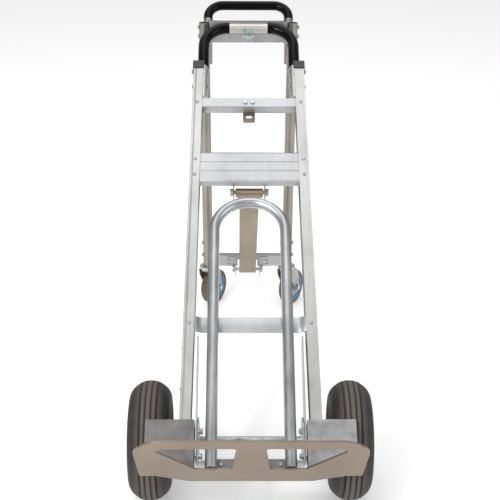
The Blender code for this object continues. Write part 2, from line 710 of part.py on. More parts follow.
def make_clevis():
    """A channel behind the step whose cheeks hold the brace's upper pivot."""
    base = RAIL_WALL + STEP_DEPTH + 2 * RUN_GAP
    back = base + CLEVIS_DEPTH
    outer = CLEVIS_HALF + CLEVIS_WALL
    outline = [(-outer, base), (outer, base), (outer, back), (CLEVIS_HALF, back),
               (CLEVIS_HALF, base + CLEVIS_WALL), (-CLEVIS_HALF, base + CLEVIS_WALL),
               (-CLEVIS_HALF, back), (-outer, back)]
    clevis = add_plate("brace_clevis", outline, CLEVIS_BOTTOM, CLEVIS_TOP, "z", MAIN, "mill_aluminium")
    opening = add_block("clevis_opening", (-CLEVIS_HALF, base - 0.01, CLEVIS_BOTTOM - 0.01),
                        (CLEVIS_HALF, base + CLEVIS_WALL + 0.001, STEP_BOTTOM + 0.016), MAIN, None)
    combine(clevis, opening, "DIFFERENCE")
    slope = [(base + 0.014, CLEVIS_TOP + 0.01), (back + 0.01, CLEVIS_TOP + 0.01),
             (back + 0.01, BRACE_PIVOT_UP + 0.020), (back - 0.002, BRACE_PIVOT_UP + 0.020)]
    corner = add_plate("clevis_slope", slope, -outer - 0.01, outer + 0.01, "x", MAIN, None)
    combine(clevis, corner, "DIFFERENCE")
    bore = add_rod("clevis_bore", (-outer - 0.01, BRACE_PIVOT_BEHIND, BRACE_PIVOT_UP),
                   (outer + 0.01, BRACE_PIVOT_BEHIND, BRACE_PIVOT_UP),
                   PIVOT_BOLT_RADIUS + RUN_GAP, MAIN, None, sides=24)
    combine(clevis, bore, "DIFFERENCE")
    add_turned("brace_top_bolt",
               bolt_profile(outer + RUN_GAP, PIVOT_BOLT_RADIUS, PIVOT_HEAD_RADIUS, PIVOT_HEAD_HEIGHT),
               (0.0, BRACE_PIVOT_BEHIND, BRACE_PIVOT_UP), "x", MAIN, "zinc_steel")


def make_strap():
    """A flat strap that bows to the back, clear of the hoop."""
    half = web_half(STRAP_BOTTOM + STRAP_HEIGHT)
    tip = rail_half(STRAP_BOTTOM) - RAIL_FLANGE
    near = RAIL_WALL + RUN_GAP
    far = near + STRAP_BOW
    line = [(0.0, far), (tip - 0.014, far), (tip, near), (half, near)]
    front = [(x, y) for x, y in line]
    back = [(x, y + STRAP_WALL) for x, y in reversed(line)]
    outline = front[1:] + back[:-1]
    left = [(-x, y) for x, y in reversed(outline)]
    add_plate("lower_strap", outline + left, STRAP_BOTTOM, STRAP_BOTTOM + STRAP_HEIGHT, "z", MAIN,
              "brushed_aluminium")


def handle_path(foot, half, crown):
    corners = [(-half, HANDLE_BEHIND, foot), (-half, HANDLE_BEHIND, crown),
               (half, HANDLE_BEHIND, crown), (half, HANDLE_BEHIND, foot)]
    return fillet(corners, HANDLE_BEND)


def make_main_handle():
    handle = add_tube("main_handle", handle_path(HANDLE_FOOT, HANDLE_HALF, HANDLE_CROWN),
                      HANDLE_TUBE, MAIN, "brushed_aluminium")
    for name, side in (("left", -1), ("right", 1)):
        path = fillet([(side * HANDLE_HALF, HANDLE_BEHIND, GRIP_FOOT),
                       (side * HANDLE_HALF, HANDLE_BEHIND, HANDLE_CROWN),
                       (side * GRIP_END_HALF, HANDLE_BEHIND, HANDLE_CROWN)], HANDLE_BEND - 0.0001)
        add_sleeve(name + "_grip", path, HANDLE_TUBE + RUN_GAP, GRIP_WALL, MAIN, "black_vinyl")
        inner = HANDLE_HALF - HANDLE_TUBE - RUN_GAP
        for number, height in enumerate(HANDLE_BOLTS, start=1):
            outer = rail_half(height) + 2 * RUN_GAP
            if height > RAIL_TOP - CAP_SKIRT:
                outer += CAP_WALL + RUN_GAP
            half_length = (outer - inner) / 2
            add_turned(f"{name}_handle_bolt_{number}",
                       bolt_profile(half_length, SMALL_BOLT_RADIUS, SMALL_HEAD_RADIUS,
                                    SMALL_HEAD_HEIGHT),
                       (side * (outer + inner) / 2, HANDLE_BEHIND, height), "x", MAIN,
                       "zinc_steel", steps=12)
            hole = add_rod("handle_hole", (side * (inner - 0.02), HANDLE_BEHIND, height),
                           (side * (outer + 0.02), HANDLE_BEHIND, height),
                           SMALL_BOLT_RADIUS + RUN_GAP, MAIN, None)
            combine(handle, hole, "DIFFERENCE")


def make_latch():
    """A saddle that hangs from the crown and guides a pin with a pull bar and a ring."""
    seat = HANDLE_TUBE + RUN_GAP
    front = -seat - LATCH_WALL
    saddle = add_block("latch_bracket", (-LATCH_HALF_WIDTH, front, -PIN_DROP - LATCH_BELOW_PIN),
                       (LATCH_HALF_WIDTH, front + LATCH_WALL + LATCH_WRAP, LATCH_TOP),
                       LATCH, "zinc_steel")
    round_bevel(saddle, 0.0008)
    crown = add_rod("crown_clearance", (-0.03, 0.0, 0.0), (0.03, 0.0, 0.0), seat, LATCH, None,
                    sides=32)
    combine(saddle, crown, "DIFFERENCE")
    bore = add_rod("latch_bore", (0.0, -0.03, -PIN_DROP), (0.0, 0.03, -PIN_DROP),
                   PIN_RADIUS + RUN_GAP, LATCH, None, sides=20)
    combine(saddle, bore, "DIFFERENCE")

    tip = HANDLE_TUBE + LATCH_GAP - PIN_GAP
    plunger = add_rod("latch_plunger", (0.0, -PULL_AHEAD, -PIN_DROP), (0.0, tip, -PIN_DROP),
                      PIN_RADIUS, LATCH, "zinc_steel")
    bar = add_rod("pull_bar", (-PULL_HALF, -PULL_AHEAD, -PIN_DROP),
                  (PULL_HALF, -PULL_AHEAD, -PIN_DROP), PULL_RADIUS, LATCH, None)
    combine(plunger, bar, "UNION")
    eye = add_block("latch_eye", (-EYE_HALF, -EYE_AHEAD - EYE_HEIGHT, -PIN_DROP - EYE_HEIGHT),
                    (EYE_HALF, -PULL_AHEAD, -PIN_DROP + EYE_HEIGHT), LATCH, None)
    combine(plunger, eye, "UNION")
    eye_hole = add_rod("latch_eye_hole", (-0.01, -EYE_AHEAD, -PIN_DROP),
                       (0.01, -EYE_AHEAD, -PIN_DROP), RING_WIRE + 0.0005, LATCH, None)
    combine(plunger, eye_hole, "DIFFERENCE")
    droop = math.radians(RING_DROOP)
    centre = (0.0, -EYE_AHEAD + RING_RADIUS * math.sin(droop),
              -PIN_DROP - RING_RADIUS * math.cos(droop))
    circle = [(RING_WIRE * math.cos(math.radians(angle)) + RING_RADIUS,
               RING_WIRE * math.sin(math.radians(angle))) for angle in range(180, -180, -45)]
    ring = add_turned("latch_ring", circle, centre, "z", LATCH, "zinc_steel", ring=True, steps=20)
    ring.rotation_euler = (math.radians(90) + droop, 0.0, 0.0)


# Wheels --------------------------------------------------------------------------------

def mirrored_profile(half):
    """A closed profile from its outer, upper half, whose lower half mirrors it."""
    return list(half) + [(radius, -height) for radius, height in reversed(half)]


def make_main_wheel(name, side):
    axes = new_empty(name + "_wheel_axes", MAIN, (side * WHEEL_TRACK / 2, AXLE_BEHIND, WHEEL_RADIUS))
    half_width = WHEEL_WIDTH / 2
    bead = RIM_WIDTH / 2 - RUN_GAP
    bore = RIM_RADIUS + RUN_GAP
    tyre = [(bore, bead), (bore + 0.006, bead), (RIM_RADIUS + 0.018, half_width * 0.87),
            (RIM_RADIUS + 0.038, half_width), (WHEEL_RADIUS - 0.018, half_width * 0.93),
            (WHEEL_RADIUS - 0.005, half_width * 0.76), (WHEEL_RADIUS, half_width * 0.45)]
    outside = mirrored_profile(tyre)
    add_turned(name + "_tyre", outside, (0.0, 0.0, 0.0), "x", axes, "tyre_rubber", ring=True,
               steps=WHEEL_STEPS)
    rim_half = RIM_WIDTH / 2
    lip = RIM_RADIUS + RIM_LIP
    disc = 0.004
    inside = RIM_RADIUS - RIM_WALL
    rim = [(inside, rim_half + RIM_WALL), (lip, rim_half + RIM_WALL), (lip, rim_half),
           (RIM_RADIUS, rim_half)]
    hub = [(HUB_RADIUS, HUB_LENGTH / 2), (HUB_RADIUS, disc), (inside, disc)]
    loop = mirrored_profile(rim) + [(radius, -height) for radius, height in reversed(hub)]
    loop += [(HUB_BORE, -HUB_LENGTH / 2), (HUB_BORE, HUB_LENGTH / 2)] + hub
    add_turned(name + "_rim", loop, (0.0, 0.0, 0.0), "x", axes, "painted_steel", ring=True,
               steps=WHEEL_STEPS)
    outer = HUB_BORE - RUN_GAP
    length = HUB_LENGTH / 2 - RUN_GAP
    bearing_bore = HUB_BORE - RUN_GAP - BEARING_WALL
    sleeve = [(outer, length), (outer, -length), (bearing_bore, -length), (bearing_bore, length)]
    add_turned(name + "_bearing", sleeve, (0.0, 0.0, 0.0), "x", axes, "zinc_steel", ring=True,
               steps=WHEEL_STEPS)
    collar_low = (WHEEL_TRACK + HUB_LENGTH) / 2 + RUN_GAP
    bore = AXLE_RADIUS + RUN_GAP
    half = AXLE_COLLAR_WIDTH / 2
    collar = [(AXLE_COLLAR_RADIUS, half), (AXLE_COLLAR_RADIUS, -half), (bore, -half), (bore, half)]
    add_turned(name + "_axle_collar", collar, (side * (collar_low + half), AXLE_BEHIND, WHEEL_RADIUS),
               "x", MAIN, "zinc_steel", ring=True, steps=20)


def make_axle():
    half = (WHEEL_TRACK + HUB_LENGTH) / 2 + AXLE_COLLAR_WIDTH + 0.003
    add_rod("axle", (-half, AXLE_BEHIND, WHEEL_RADIUS), (half, AXLE_BEHIND, WHEEL_RADIUS),
            AXLE_RADIUS, MAIN, "zinc_steel", sides=20)


# Brace ---------------------------------------------------------------------------------

def make_brace():
    """A flat arm below its upper pivot, with a wide head and a bored barrel at each end."""
    top = BRACE_HEAD_LENGTH * 0.6
    neck = -BRACE_HEAD_LENGTH
    corners = [(0.0, top), (BRACE_HEAD_HALF, top), (BRACE_HEAD_HALF, neck),
               (BRACE_HALF_WIDTH, neck - BRACE_HEAD_FILLET),
               (BRACE_HALF_WIDTH, -BRACE_LENGTH - BRACE_END), (0.0, -BRACE_LENGTH - BRACE_END)]
    half = [tuple(point) for point in corners[1:-1]]
    depth = BRACE_THICKNESS / 2
    brace = add_plate("brace", mirrored_outline(half), -depth, depth, "y", BRACE, "mill_aluminium")
    barrel = add_rod("brace_barrel", (-BRACE_HEAD_HALF, 0.0, 0.0), (BRACE_HEAD_HALF, 0.0, 0.0),
                     BRACE_BARREL, BRACE, None, sides=24)
    combine(brace, barrel, "UNION")
    for name, height in (("top", 0.0), ("bottom", -BRACE_LENGTH)):
        bore = add_rod("brace_bore_" + name, (-0.05, 0.0, height), (0.05, 0.0, height),
                       PIVOT_BOLT_RADIUS + PIVOT_BOLT_GAP, BRACE, None, sides=24)
        combine(brace, bore, "DIFFERENCE")


# Rear frame ----------------------------------------------------------------------------

def make_leg(name, side):
    axes = new_empty(name + "_axes", REAR, (side * LEG_HALF_FOOT, HINGE_TO_LEG, HINGE_TO_FOOT))
    flare = math.atan2(LEG_HALF_TOP - LEG_HALF_FOOT, LEG_LENGTH)
    axes.rotation_euler = (0.0, side * flare, 0.0)
    bore = LEG_RADIUS - LEG_WALL
    foot = RUN_GAP
    wall = [(LEG_RADIUS, LEG_LENGTH), (LEG_RADIUS, foot), (bore, foot), (bore, LEG_LENGTH)]
    add_turned(name, wall, (0.0, 0.0, 0.0), "z", axes, "brushed_aluminium", ring=True, steps=24)


def beam_section(front, back, bottom, top):
    wall = BEAM_WALL
    return [(front, bottom), (back, bottom), (back, bottom + wall), (front + wall, bottom + wall),
            (front + wall, top - wall), (back, top - wall), (back, top), (front, top)]


def add_tabs(beam, name, half_low, half_high, bottom, top):
    """End tabs that lie against the inner sides of the legs."""
    middle = HINGE_TO_LEG
    for side in (-1, 1):
        half = min(half_low, half_high)
        low, high = sorted((side * half, side * (half - BEAM_WALL)))
        tab = add_block(name + "_tab", (low, middle - 0.0125, bottom), (high, middle + 0.0105, top),
                        REAR, None)
        combine(beam, tab, "UNION")


def make_beams():
    front = HINGE_TO_LEG - LEG_RADIUS
    back = HINGE_TO_LEG + LEG_RADIUS * 0.7
    top = HINGE_TO_FOOT + LEG_LENGTH + UPPER_BEAM_RISE
    bottom = top - UPPER_BEAM_HEIGHT
    tab_bottom = bottom - UPPER_TAB_DROP
    half = leg_half(tab_bottom) - LEG_RADIUS - RUN_GAP
    upper = add_plate("rear_upper_beam", beam_section(front, back, bottom, top), -half, half, "x",
                      REAR, "brushed_aluminium")
    add_tabs(upper, "upper", half, half, tab_bottom, top - 0.001)
    hole = add_rod("pin_hole", (0.0, 0.0, -PIN_DROP), (0.0, 0.030, -PIN_DROP), PIN_HOLE_RADIUS, LATCH,
                   None)
    combine(upper, hole, "DIFFERENCE")

    low = HINGE_TO_FOOT + LOWER_BEAM_BOTTOM
    high = low + LOWER_BEAM_HEIGHT
    half = leg_half(0.0) - LEG_RADIUS - RUN_GAP
    lower = add_plate("rear_lower_beam", beam_section(front, back, low, high), -half, half, "x",
                      REAR, "brushed_aluminium")
    add_tabs(lower, "lower", half, half, low + 0.0005, low + LOWER_TAB_HEIGHT)
    notch = add_block("beam_notch", (-BEAM_NOTCH_HALF, front - 0.01, low - 0.01),
                      (BEAM_NOTCH_HALF, back + 0.01, low + BEAM_NOTCH_HEIGHT), REAR, None)
    combine(lower, notch, "DIFFERENCE")


def make_lugs():
    """Two plates on the lower beam that hold the brace's lower pivot."""
    front_of_beam = HINGE_TO_LEG - LEG_RADIUS - RUN_GAP
    top = HINGE_TO_FOOT + LOWER_BEAM_BOTTOM + LOWER_BEAM_HEIGHT - 0.002
    for name, side in (("left", -1), ("right", 1)):
        flange = 0.026
        section = [(LUG_HALF, -0.011), (LUG_HALF + LUG_WALL, -0.011),
                   (LUG_HALF + LUG_WALL, front_of_beam - LUG_WALL),
                   (LUG_HALF + flange, front_of_beam - LUG_WALL), (LUG_HALF + flange, front_of_beam),
                   (LUG_HALF, front_of_beam)]
        lug = add_plate(name + "_brace_lug", [(side * x, y) for x, y in section],
                        -LUG_DROP, top, "z", REAR, "zinc_steel")
        slope = add_plate("lug_slope", [(-0.03, 0.011), (-0.03, top + 0.01), (front_of_beam - 0.0035,
                          top + 0.01), (front_of_beam - 0.0035, top - 0.004), (-0.012, 0.011)],
                          *sorted((side * (LUG_HALF - 0.01), side * (LUG_HALF + 0.05))), "x", REAR, None)
        combine(lug, slope, "DIFFERENCE")
        trim = add_block("lug_trim", [min(side * (LUG_HALF + LUG_WALL + 0.0001), side * 0.08),
                                      front_of_beam - 0.02, -LUG_DROP - 0.01],
                         [max(side * (LUG_HALF + LUG_WALL + 0.0001), side * 0.08),
                          front_of_beam + 0.01, HINGE_TO_FOOT + LOWER_BEAM_BOTTOM], REAR, None)
        combine(lug, trim, "DIFFERENCE")
        bore = add_rod("lug_bore", (side * 0.02, 0.0, 0.0), (side * 0.06, 0.0, 0.0),
                       PIVOT_BOLT_RADIUS + RUN_GAP, REAR, None, sides=24)
        combine(lug, bore, "DIFFERENCE")
    add_turned("brace_bottom_bolt",
               bolt_profile(LUG_HALF + LUG_WALL + RUN_GAP, PIVOT_BOLT_RADIUS, PIVOT_HEAD_RADIUS - 0.001,
                            PIVOT_HEAD_HEIGHT - 0.001),
               (0.0, 0.0, 0.0), "x", REAR, "zinc_steel")


def make_rear_handle():
    """A loop whose legs lie behind the rear legs and bend back above them."""
    behind = HINGE_TO_LEG + LEG_RADIUS + REAR_TUBE + RUN_GAP
    knee = HINGE_TO_FOOT + LEG_LENGTH - 0.007
    foot = knee - REAR_FOOT_DROP
    bend = math.radians(REAR_BEND)
    crown = Vector((0.0, behind + REAR_REACH * math.sin(bend), knee + REAR_REACH * math.cos(bend)))
    half = []
    for side in (-1, 1):
        corners = [(side * REAR_HALF, behind, foot), (side * REAR_HALF, behind, knee),
                   (side * REAR_HALF, crown.y, crown.z), (0.0, crown.y, crown.z)]
        half.append(fillet(corners, [0, REAR_KNEE, REAR_CORNER, 0], steps=6))
    left, right = half
    path = left[:-1] + list(reversed(right[:-1]))
    add_tube("rear_handle", path, REAR_TUBE, REAR, "brushed_aluminium")
    along = Vector((0.0, math.sin(bend), math.cos(bend)))
    grip = []
    for side in (-1, 1):
        first = Vector((side * REAR_HALF, behind, knee)) + along * REAR_COLLAR
        corner = Vector((side * REAR_HALF, crown.y, crown.z))
        centre = Vector((0.0, crown.y, crown.z))
        grip.append(fillet([first, corner, centre], [0, REAR_CORNER, 0], steps=6))
    grip_path = grip[0][:-1] + list(reversed(grip[1][:-1]))
    add_sleeve("rear_grip", grip_path, REAR_TUBE + RUN_GAP, REAR_GRIP_WALL, REAR, "black_vinyl")


# Casters -------------------------------------------------------------------------------

def make_caster(name, side):
    foot = (side * LEG_HALF_FOOT, HINGE_TO_LEG, HINGE_TO_FOOT)
    stem_axes = new_empty(name + "_caster_stem_axes", REAR, foot)
    bore = LEG_RADIUS - LEG_WALL - 0.0006
    stem = [(0.0, STEM_LENGTH), (bore, STEM_LENGTH), (bore, 0.0), (RACE_RADIUS, 0.0),
            (RACE_RADIUS, -RACE_HEIGHT), (0.0, -RACE_HEIGHT)]
    add_turned(name + "_caster_stem", stem, (0.0, 0.0, 0.0), "z", stem_axes, "zinc_steel", steps=24)

    swivel = new_empty(name + "_caster_swivel_axes", REAR, foot,
                       (0.0, 0.0, -math.radians(CASTER_SWIVEL)))
    crown_top = -RACE_HEIGHT - RUN_GAP
    crown_low = crown_top - 0.0055
    axle_height = CASTER_RADIUS - CASTER_HEIGHT
    disc = [(0.0, crown_top), (FORK_CROWN_HALF, crown_top), (FORK_CROWN_HALF, crown_low),
            (0.0, crown_low)]
    fork = add_turned(name + "_caster_fork", disc, (0.0, 0.0, 0.0), "z", swivel, "zinc_steel", steps=24)
    end = [(CASTER_TRAIL + FORK_END_RADIUS * math.cos(math.radians(angle)),
            axle_height + FORK_END_RADIUS * math.sin(math.radians(angle)))
           for angle in range(-160, 21, 30)]
    arm = end + [(0.034, crown_low - 0.012), (0.020, crown_low + 0.0025), (-0.018, crown_low + 0.0025),
                 (-0.014, crown_low - 0.016)]
    for arm_side in (-1, 1):
        low, high = sorted((arm_side * FORK_HALF, arm_side * (FORK_HALF + FORK_WALL)))
        cheek = add_plate("fork_arm", arm, low, high, "x", swivel, None)
        combine(fork, cheek, "UNION")
    hole = add_rod("fork_bore", (-0.04, CASTER_TRAIL, axle_height), (0.04, CASTER_TRAIL, axle_height),
                   CASTER_AXLE_RADIUS + RUN_GAP, swivel, None, sides=20)
    combine(fork, hole, "DIFFERENCE")
    add_turned(name + "_caster_axle",
               bolt_profile(FORK_HALF + FORK_WALL + RUN_GAP, CASTER_AXLE_RADIUS, 0.0080, 0.0045),
               (0.0, CASTER_TRAIL, axle_height), "x", swivel, "zinc_steel")

    wheel = new_empty(name + "_caster_wheel_axes", swivel, (0.0, CASTER_TRAIL, axle_height))
    half = CASTER_WIDTH / 2
    inner = CASTER_CORE_RADIUS + RUN_GAP
    tread = mirrored_profile([(inner, half - 0.002), (CASTER_RADIUS - 0.006, half),
                              (CASTER_RADIUS - 0.002, half - 0.004), (CASTER_RADIUS, half - 0.010)])
    add_turned(name + "_caster_tread", tread, (0.0, 0.0, 0.0), "x", wheel, "olive_rubber", ring=True,
               steps=28)
    hub = FORK_HALF - 0.0010
    core = [(CASTER_HUB_RADIUS, hub), (CASTER_HUB_RADIUS, 0.007), (CASTER_CORE_RADIUS - 0.006, 0.007),
            (CASTER_CORE_RADIUS - 0.004, half - 0.001), (CASTER_CORE_RADIUS, half - 0.001)]
    loop = mirrored_profile(core) + [(CASTER_BORE, -hub), (CASTER_BORE, hub)]
    add_turned(name + "_caster_core", loop, (0.0, 0.0, 0.0), "x", wheel, "blue_core", ring=True,
               steps=28)


def stand_on_floor():
    """Set the origin on the floor, under the middle of the truck's box."""
    bpy.context.view_layer.update()
    depsgraph = bpy.context.evaluated_depsgraph_get()
    low = Vector((math.inf,) * 3)
    high = Vector((-math.inf,) * 3)
    for obj in PARTS.objects:
        if obj.type != "MESH":
            continue
        evaluated = obj.evaluated_get(depsgraph)
        for vertex in evaluated.data.vertices:
            place = evaluated.matrix_world @ vertex.co
            low = Vector(map(min, low, place))
            high = Vector(map(max, high, place))
    middle = (low + high) / 2
    TRUCK.location = (-middle.x, -middle.y, -low.z)


def build():
    make_toe_plate()
    for name, side in (("left", -1), ("right", 1)):
        rail_axes = make_rail(name + "_rail", side)
        make_rail_cap(name + "_rail_cap", side, rail_axes)
        plate_inner = make_side_plate(name + "_side_plate", side)
        make_axle_bracket(name + "_axle_bracket", side, plate_inner - BRACKET_INSET)
        make_wheel_guard(name + "_wheel_guard", side)
        make_main_wheel(name, side)
    make_axle()
    make_base_angle()
    make_hoop()
    make_strap()
    make_step()
    make_clevis()
    make_crossbar()
    make_main_handle()
    make_latch()
    make_brace()
    for name, side in (("left", -1), ("right", 1)):
        make_leg(name + "_rear_leg", side)
        make_caster(name, side)
    make_beams()
    make_lugs()
    make_rear_handle()
    stand_on_floor()


build()
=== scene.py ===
import math

import bpy
from mathutils import Matrix, Vector


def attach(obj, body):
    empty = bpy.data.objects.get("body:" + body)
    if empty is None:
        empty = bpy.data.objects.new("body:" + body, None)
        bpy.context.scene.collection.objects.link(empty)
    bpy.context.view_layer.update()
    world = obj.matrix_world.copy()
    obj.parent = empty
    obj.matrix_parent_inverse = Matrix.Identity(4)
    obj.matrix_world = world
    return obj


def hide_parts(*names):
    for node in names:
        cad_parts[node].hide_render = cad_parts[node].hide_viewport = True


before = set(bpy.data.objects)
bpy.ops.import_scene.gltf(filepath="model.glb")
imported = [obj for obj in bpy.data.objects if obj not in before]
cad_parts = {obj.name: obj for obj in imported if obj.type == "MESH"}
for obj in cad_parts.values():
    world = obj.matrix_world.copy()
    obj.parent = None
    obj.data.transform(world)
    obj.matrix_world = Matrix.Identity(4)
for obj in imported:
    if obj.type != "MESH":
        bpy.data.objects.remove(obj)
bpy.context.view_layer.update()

# The two frames of the truck: the leaning main frame, and the rear frame on its casters
stance = {
    "mainPlace": (0.0, -0.57682, 0.18549), "mainTurn": -58.9,
    "rearPlace": (0.0, 0.47947, 0.12678), "rearTurn": -4.5,
    "bracePlace": (0.0, 0.08177, 0.53022), "braceTurn": 44.589,
    "wheelHalfTrack": 0.220, "axleBehind": 0.142, "axleUp": 0.132,
    "railHalfFoot": 0.1532, "railHalfTop": 0.1416, "railTop": 1.129,
    "legHalfFoot": 0.1133, "legHalfTop": 0.1191, "legLength": 0.702,
    "casterSwivel": -30.0, "casterTrail": 0.030, "casterAxle": -0.0742,
}


def frameAt(place, turn):
    return Matrix.Translation(place) @ Matrix.Rotation(math.radians(turn), 4, "X")


mainFrame = frameAt(stance["mainPlace"], stance["mainTurn"])
rearFrame = frameAt(stance["rearPlace"], stance["rearTurn"])
braceFrame = frameAt(stance["bracePlace"], stance["braceTurn"])
latchFrame = frameAt(mainFrame @ Vector((0.0, 0.029, 1.2736)), stance["rearTurn"])


def railHalf(height):
    return stance["railHalfFoot"] + (stance["railHalfTop"] - stance["railHalfFoot"]) * height / stance["railTop"]


def legHalf(height):
    return stance["legHalfFoot"] + (stance["legHalfTop"] - stance["legHalfFoot"]) * height / stance["legLength"]


# Materials ----

def fromHex(text):
    channels = [int(text[i:i + 2], 16) / 255 for i in (1, 3, 5)]
    return tuple(c / 12.92 if c <= 0.04045 else ((c + 0.055) / 1.055) ** 2.4 for c in channels) + (1.0,)


def addNode(material, kind, settings=None, links=None):
    node = material.node_tree.nodes.new(kind)
    for key, value in (settings or {}).items():
        if isinstance(key, str) and hasattr(node, key):
            setattr(node, key, value)
        else:
            node.inputs[key].default_value = value
    for key, (source, output) in (links or {}).items():
        material.node_tree.links.new(source.outputs[output], node.inputs[key])
    return node


def newMaterial(name, settings):
    material = bpy.data.materials.new(name)
    material.use_nodes = True
    shader = material.node_tree.nodes["Principled BSDF"]
    for key, value in settings.items():
        shader.inputs[key].default_value = value
    return material, shader


def sizedCoords(material, turn, size):
    # object coordinates turned into a frame's own axes, with one unit for each feature's size in metres
    coords = addNode(material, "ShaderNodeTexCoord")
    return addNode(material, "ShaderNodeMapping",
                   {"vector_type": "TEXTURE", "Rotation": (math.radians(turn), 0.0, 0.0), "Scale": size},
                   {"Vector": (coords, "Object")})


def twoColours(material, shader, source, output, low, high, dark, light):
    blend = addNode(material, "ShaderNodeMapRange", {"From Min": low, "From Max": high}, {"Value": (source, output)})
    mix = addNode(material, "ShaderNodeMix", {"data_type": "RGBA"}, {"Factor": (blend, "Result")})
    mix.inputs[6].default_value = fromHex(dark)
    mix.inputs[7].default_value = fromHex(light)
    material.node_tree.links.new(mix.outputs[2], shader.inputs["Base Color"])
    return mix


def spreadRoughness(material, shader, source, output, low, high):
    spread = addNode(material, "ShaderNodeMapRange", {"To Min": low, "To Max": high}, {"Value": (source, output)})
    material.node_tree.links.new(spread.outputs["Result"], shader.inputs["Roughness"])


def addBump(material, shader, source, output, distance, strength):
    bump = addNode(material, "ShaderNodeBump", {"Distance": distance, "Strength": strength},
                   {"Height": (source, output)})
    material.node_tree.links.new(bump.outputs["Normal"], shader.inputs["Normal"])


def aluminium(name, look):
    # drawn or rolled aluminium: fine die lines along its length, soft cloudy blooms, handling haze
    material, shader = newMaterial(name, {"Metallic": 1.0, "Roughness": look["roughness"][0]})
    lines = addNode(material, "ShaderNodeTexNoise", {"Scale": 1.0, "Detail": 3.0, "Roughness": 0.6},
                    {"Vector": (sizedCoords(material, look["turn"], look["lines"]), "Vector")})
    clouds = addNode(material, "ShaderNodeTexNoise", {"Scale": 1.0, "Detail": 5.0, "Roughness": 0.62},
                     {"Vector": (sizedCoords(material, look["turn"], look["clouds"]), "Vector")})
    both = addNode(material, "ShaderNodeMath", {"operation": "MULTIPLY_ADD", 1: 0.45},
                   {0: (lines, "Fac"), 2: (clouds, "Fac")})
    twoColours(material, shader, both, "Value", 0.52, 0.92, look["dark"], look["light"])
    spreadRoughness(material, shader, both, "Value", look["roughness"][0] - 0.05, look["roughness"][1])
    addBump(material, shader, lines, "Fac", 0.0002, look["bump"])
    return material


def zincPlate(name, look):
    # bright zinc on pressed steel: a faint spangle of cooler and warmer patches
    material, shader = newMaterial(name, {"Metallic": 1.0, "Roughness": look["roughness"][0]})
    coords = sizedCoords(material, 0.0, look["spangle"])
    spangle = addNode(material, "ShaderNodeTexVoronoi", {"Scale": 1.0}, {"Vector": (coords, "Vector")})
    haze = addNode(material, "ShaderNodeTexNoise", {"Scale": 0.4, "Detail": 4.0}, {"Vector": (coords, "Vector")})
    both = addNode(material, "ShaderNodeMath", {"operation": "MULTIPLY_ADD", 1: 0.3},
                   {0: (spangle, "Distance"), 2: (haze, "Fac")})
    twoColours(material, shader, both, "Value", 0.4, 0.85, look["dark"], look["light"])
    spreadRoughness(material, shader, both, "Value", look["roughness"][0], look["roughness"][1])
    addBump(material, shader, haze, "Fac", 0.0002, 0.12)
    return material


def moulded(name, look):
    # moulded rubber, vinyl or plastic: a fine grain with a dusty bloom on top
    material, shader = newMaterial(name, {"Metallic": 0.0, "Roughness": look["roughness"][0], "IOR": look["ior"],
                                          "Coat Weight": look.get("coat", 0.0), "Coat Roughness": 0.08})
    coords = sizedCoords(material, 0.0, look["grain"])
    grain = addNode(material, "ShaderNodeTexNoise", {"Scale": 1.0, "Detail": 4.0}, {"Vector": (coords, "Vector")})
    bloom = addNode(material, "ShaderNodeTexNoise", {"Scale": 0.06, "Detail": 5.0, "Roughness": 0.6},
                    {"Vector": (coords, "Vector")})
    twoColours(material, shader, bloom, "Fac", 0.35, 0.68, look["dark"], look["light"])
    spreadRoughness(material, shader, bloom, "Fac", look["roughness"][0], look["roughness"][1])
    addBump(material, shader, grain, "Fac", 0.0003, look["bump"])
    return material


alongRails = (0.0012, 0.0012, 0.09)     # die lines about 1 mm apart, drawn coarse so that they show
acrossTruck = (0.09, 0.0012, 0.0012)
handsBreadth = (0.09, 0.09, 0.16)

railAluminium = aluminium("extrudedRailAluminium", {
    "turn": stance["mainTurn"], "lines": alongRails, "clouds": handsBreadth,
    "dark": "#aaaaa9", "light": "#c9c9c8", "roughness": (0.34, 0.46), "bump": 0.10})
crossAluminium = aluminium("extrudedCrossAluminium", {
    "turn": stance["mainTurn"], "lines": acrossTruck, "clouds": handsBreadth,
    "dark": "#a8aaac", "light": "#c6c8ca", "roughness": (0.34, 0.48), "bump": 0.10})
tubeAluminium = aluminium("drawnTubeAluminium", {
    "turn": stance["mainTurn"], "lines": alongRails, "clouds": (0.05, 0.05, 0.10),
    "dark": "#9ea2a4", "light": "#c6c9cb", "roughness": (0.24, 0.36), "bump": 0.06})
# a lighter, creamier copy of the drawn tube for the main handle: its extra brightness is painted light
litCrownAluminium = aluminium("paintedLightHandleAluminium", {
    "turn": stance["mainTurn"], "lines": acrossTruck, "clouds": handsBreadth,
    "dark": "#b9b6af", "light": "#d6d3cc", "roughness": (0.28, 0.40), "bump": 0.06})
legAluminium = aluminium("drawnLegAluminium", {
    "turn": stance["rearTurn"], "lines": alongRails, "clouds": handsBreadth,
    "dark": "#8a857e", "light": "#aca69d", "roughness": (0.30, 0.44), "bump": 0.08})
beamAluminium = aluminium("extrudedBeamAluminium", {
    "turn": stance["rearTurn"], "lines": acrossTruck, "clouds": handsBreadth,
    "dark": "#a9a8aa", "light": "#cdccd0", "roughness": (0.30, 0.44), "bump": 0.08})
braceAluminium = aluminium("extrudedBraceAluminium", {
    "turn": stance["braceTurn"], "lines": alongRails, "clouds": handsBreadth,
    "dark": "#87796a", "light": "#a89a87", "roughness": (0.36, 0.5), "bump": 0.10})
# its darker, warmer colours are painted shade, as if reflecting the shadowed floor under the truck; the catch bracket
# shares it
shadedPlateAluminium = aluminium("paintedShadeForgedPlateAluminium", {
    "turn": stance["mainTurn"], "lines": (0.0015, 0.0015, 0.0015), "clouds": (0.14, 0.14, 0.14),
    "dark": "#8b7c6e", "light": "#978a7d", "roughness": (0.42, 0.48), "bump": 0.02})
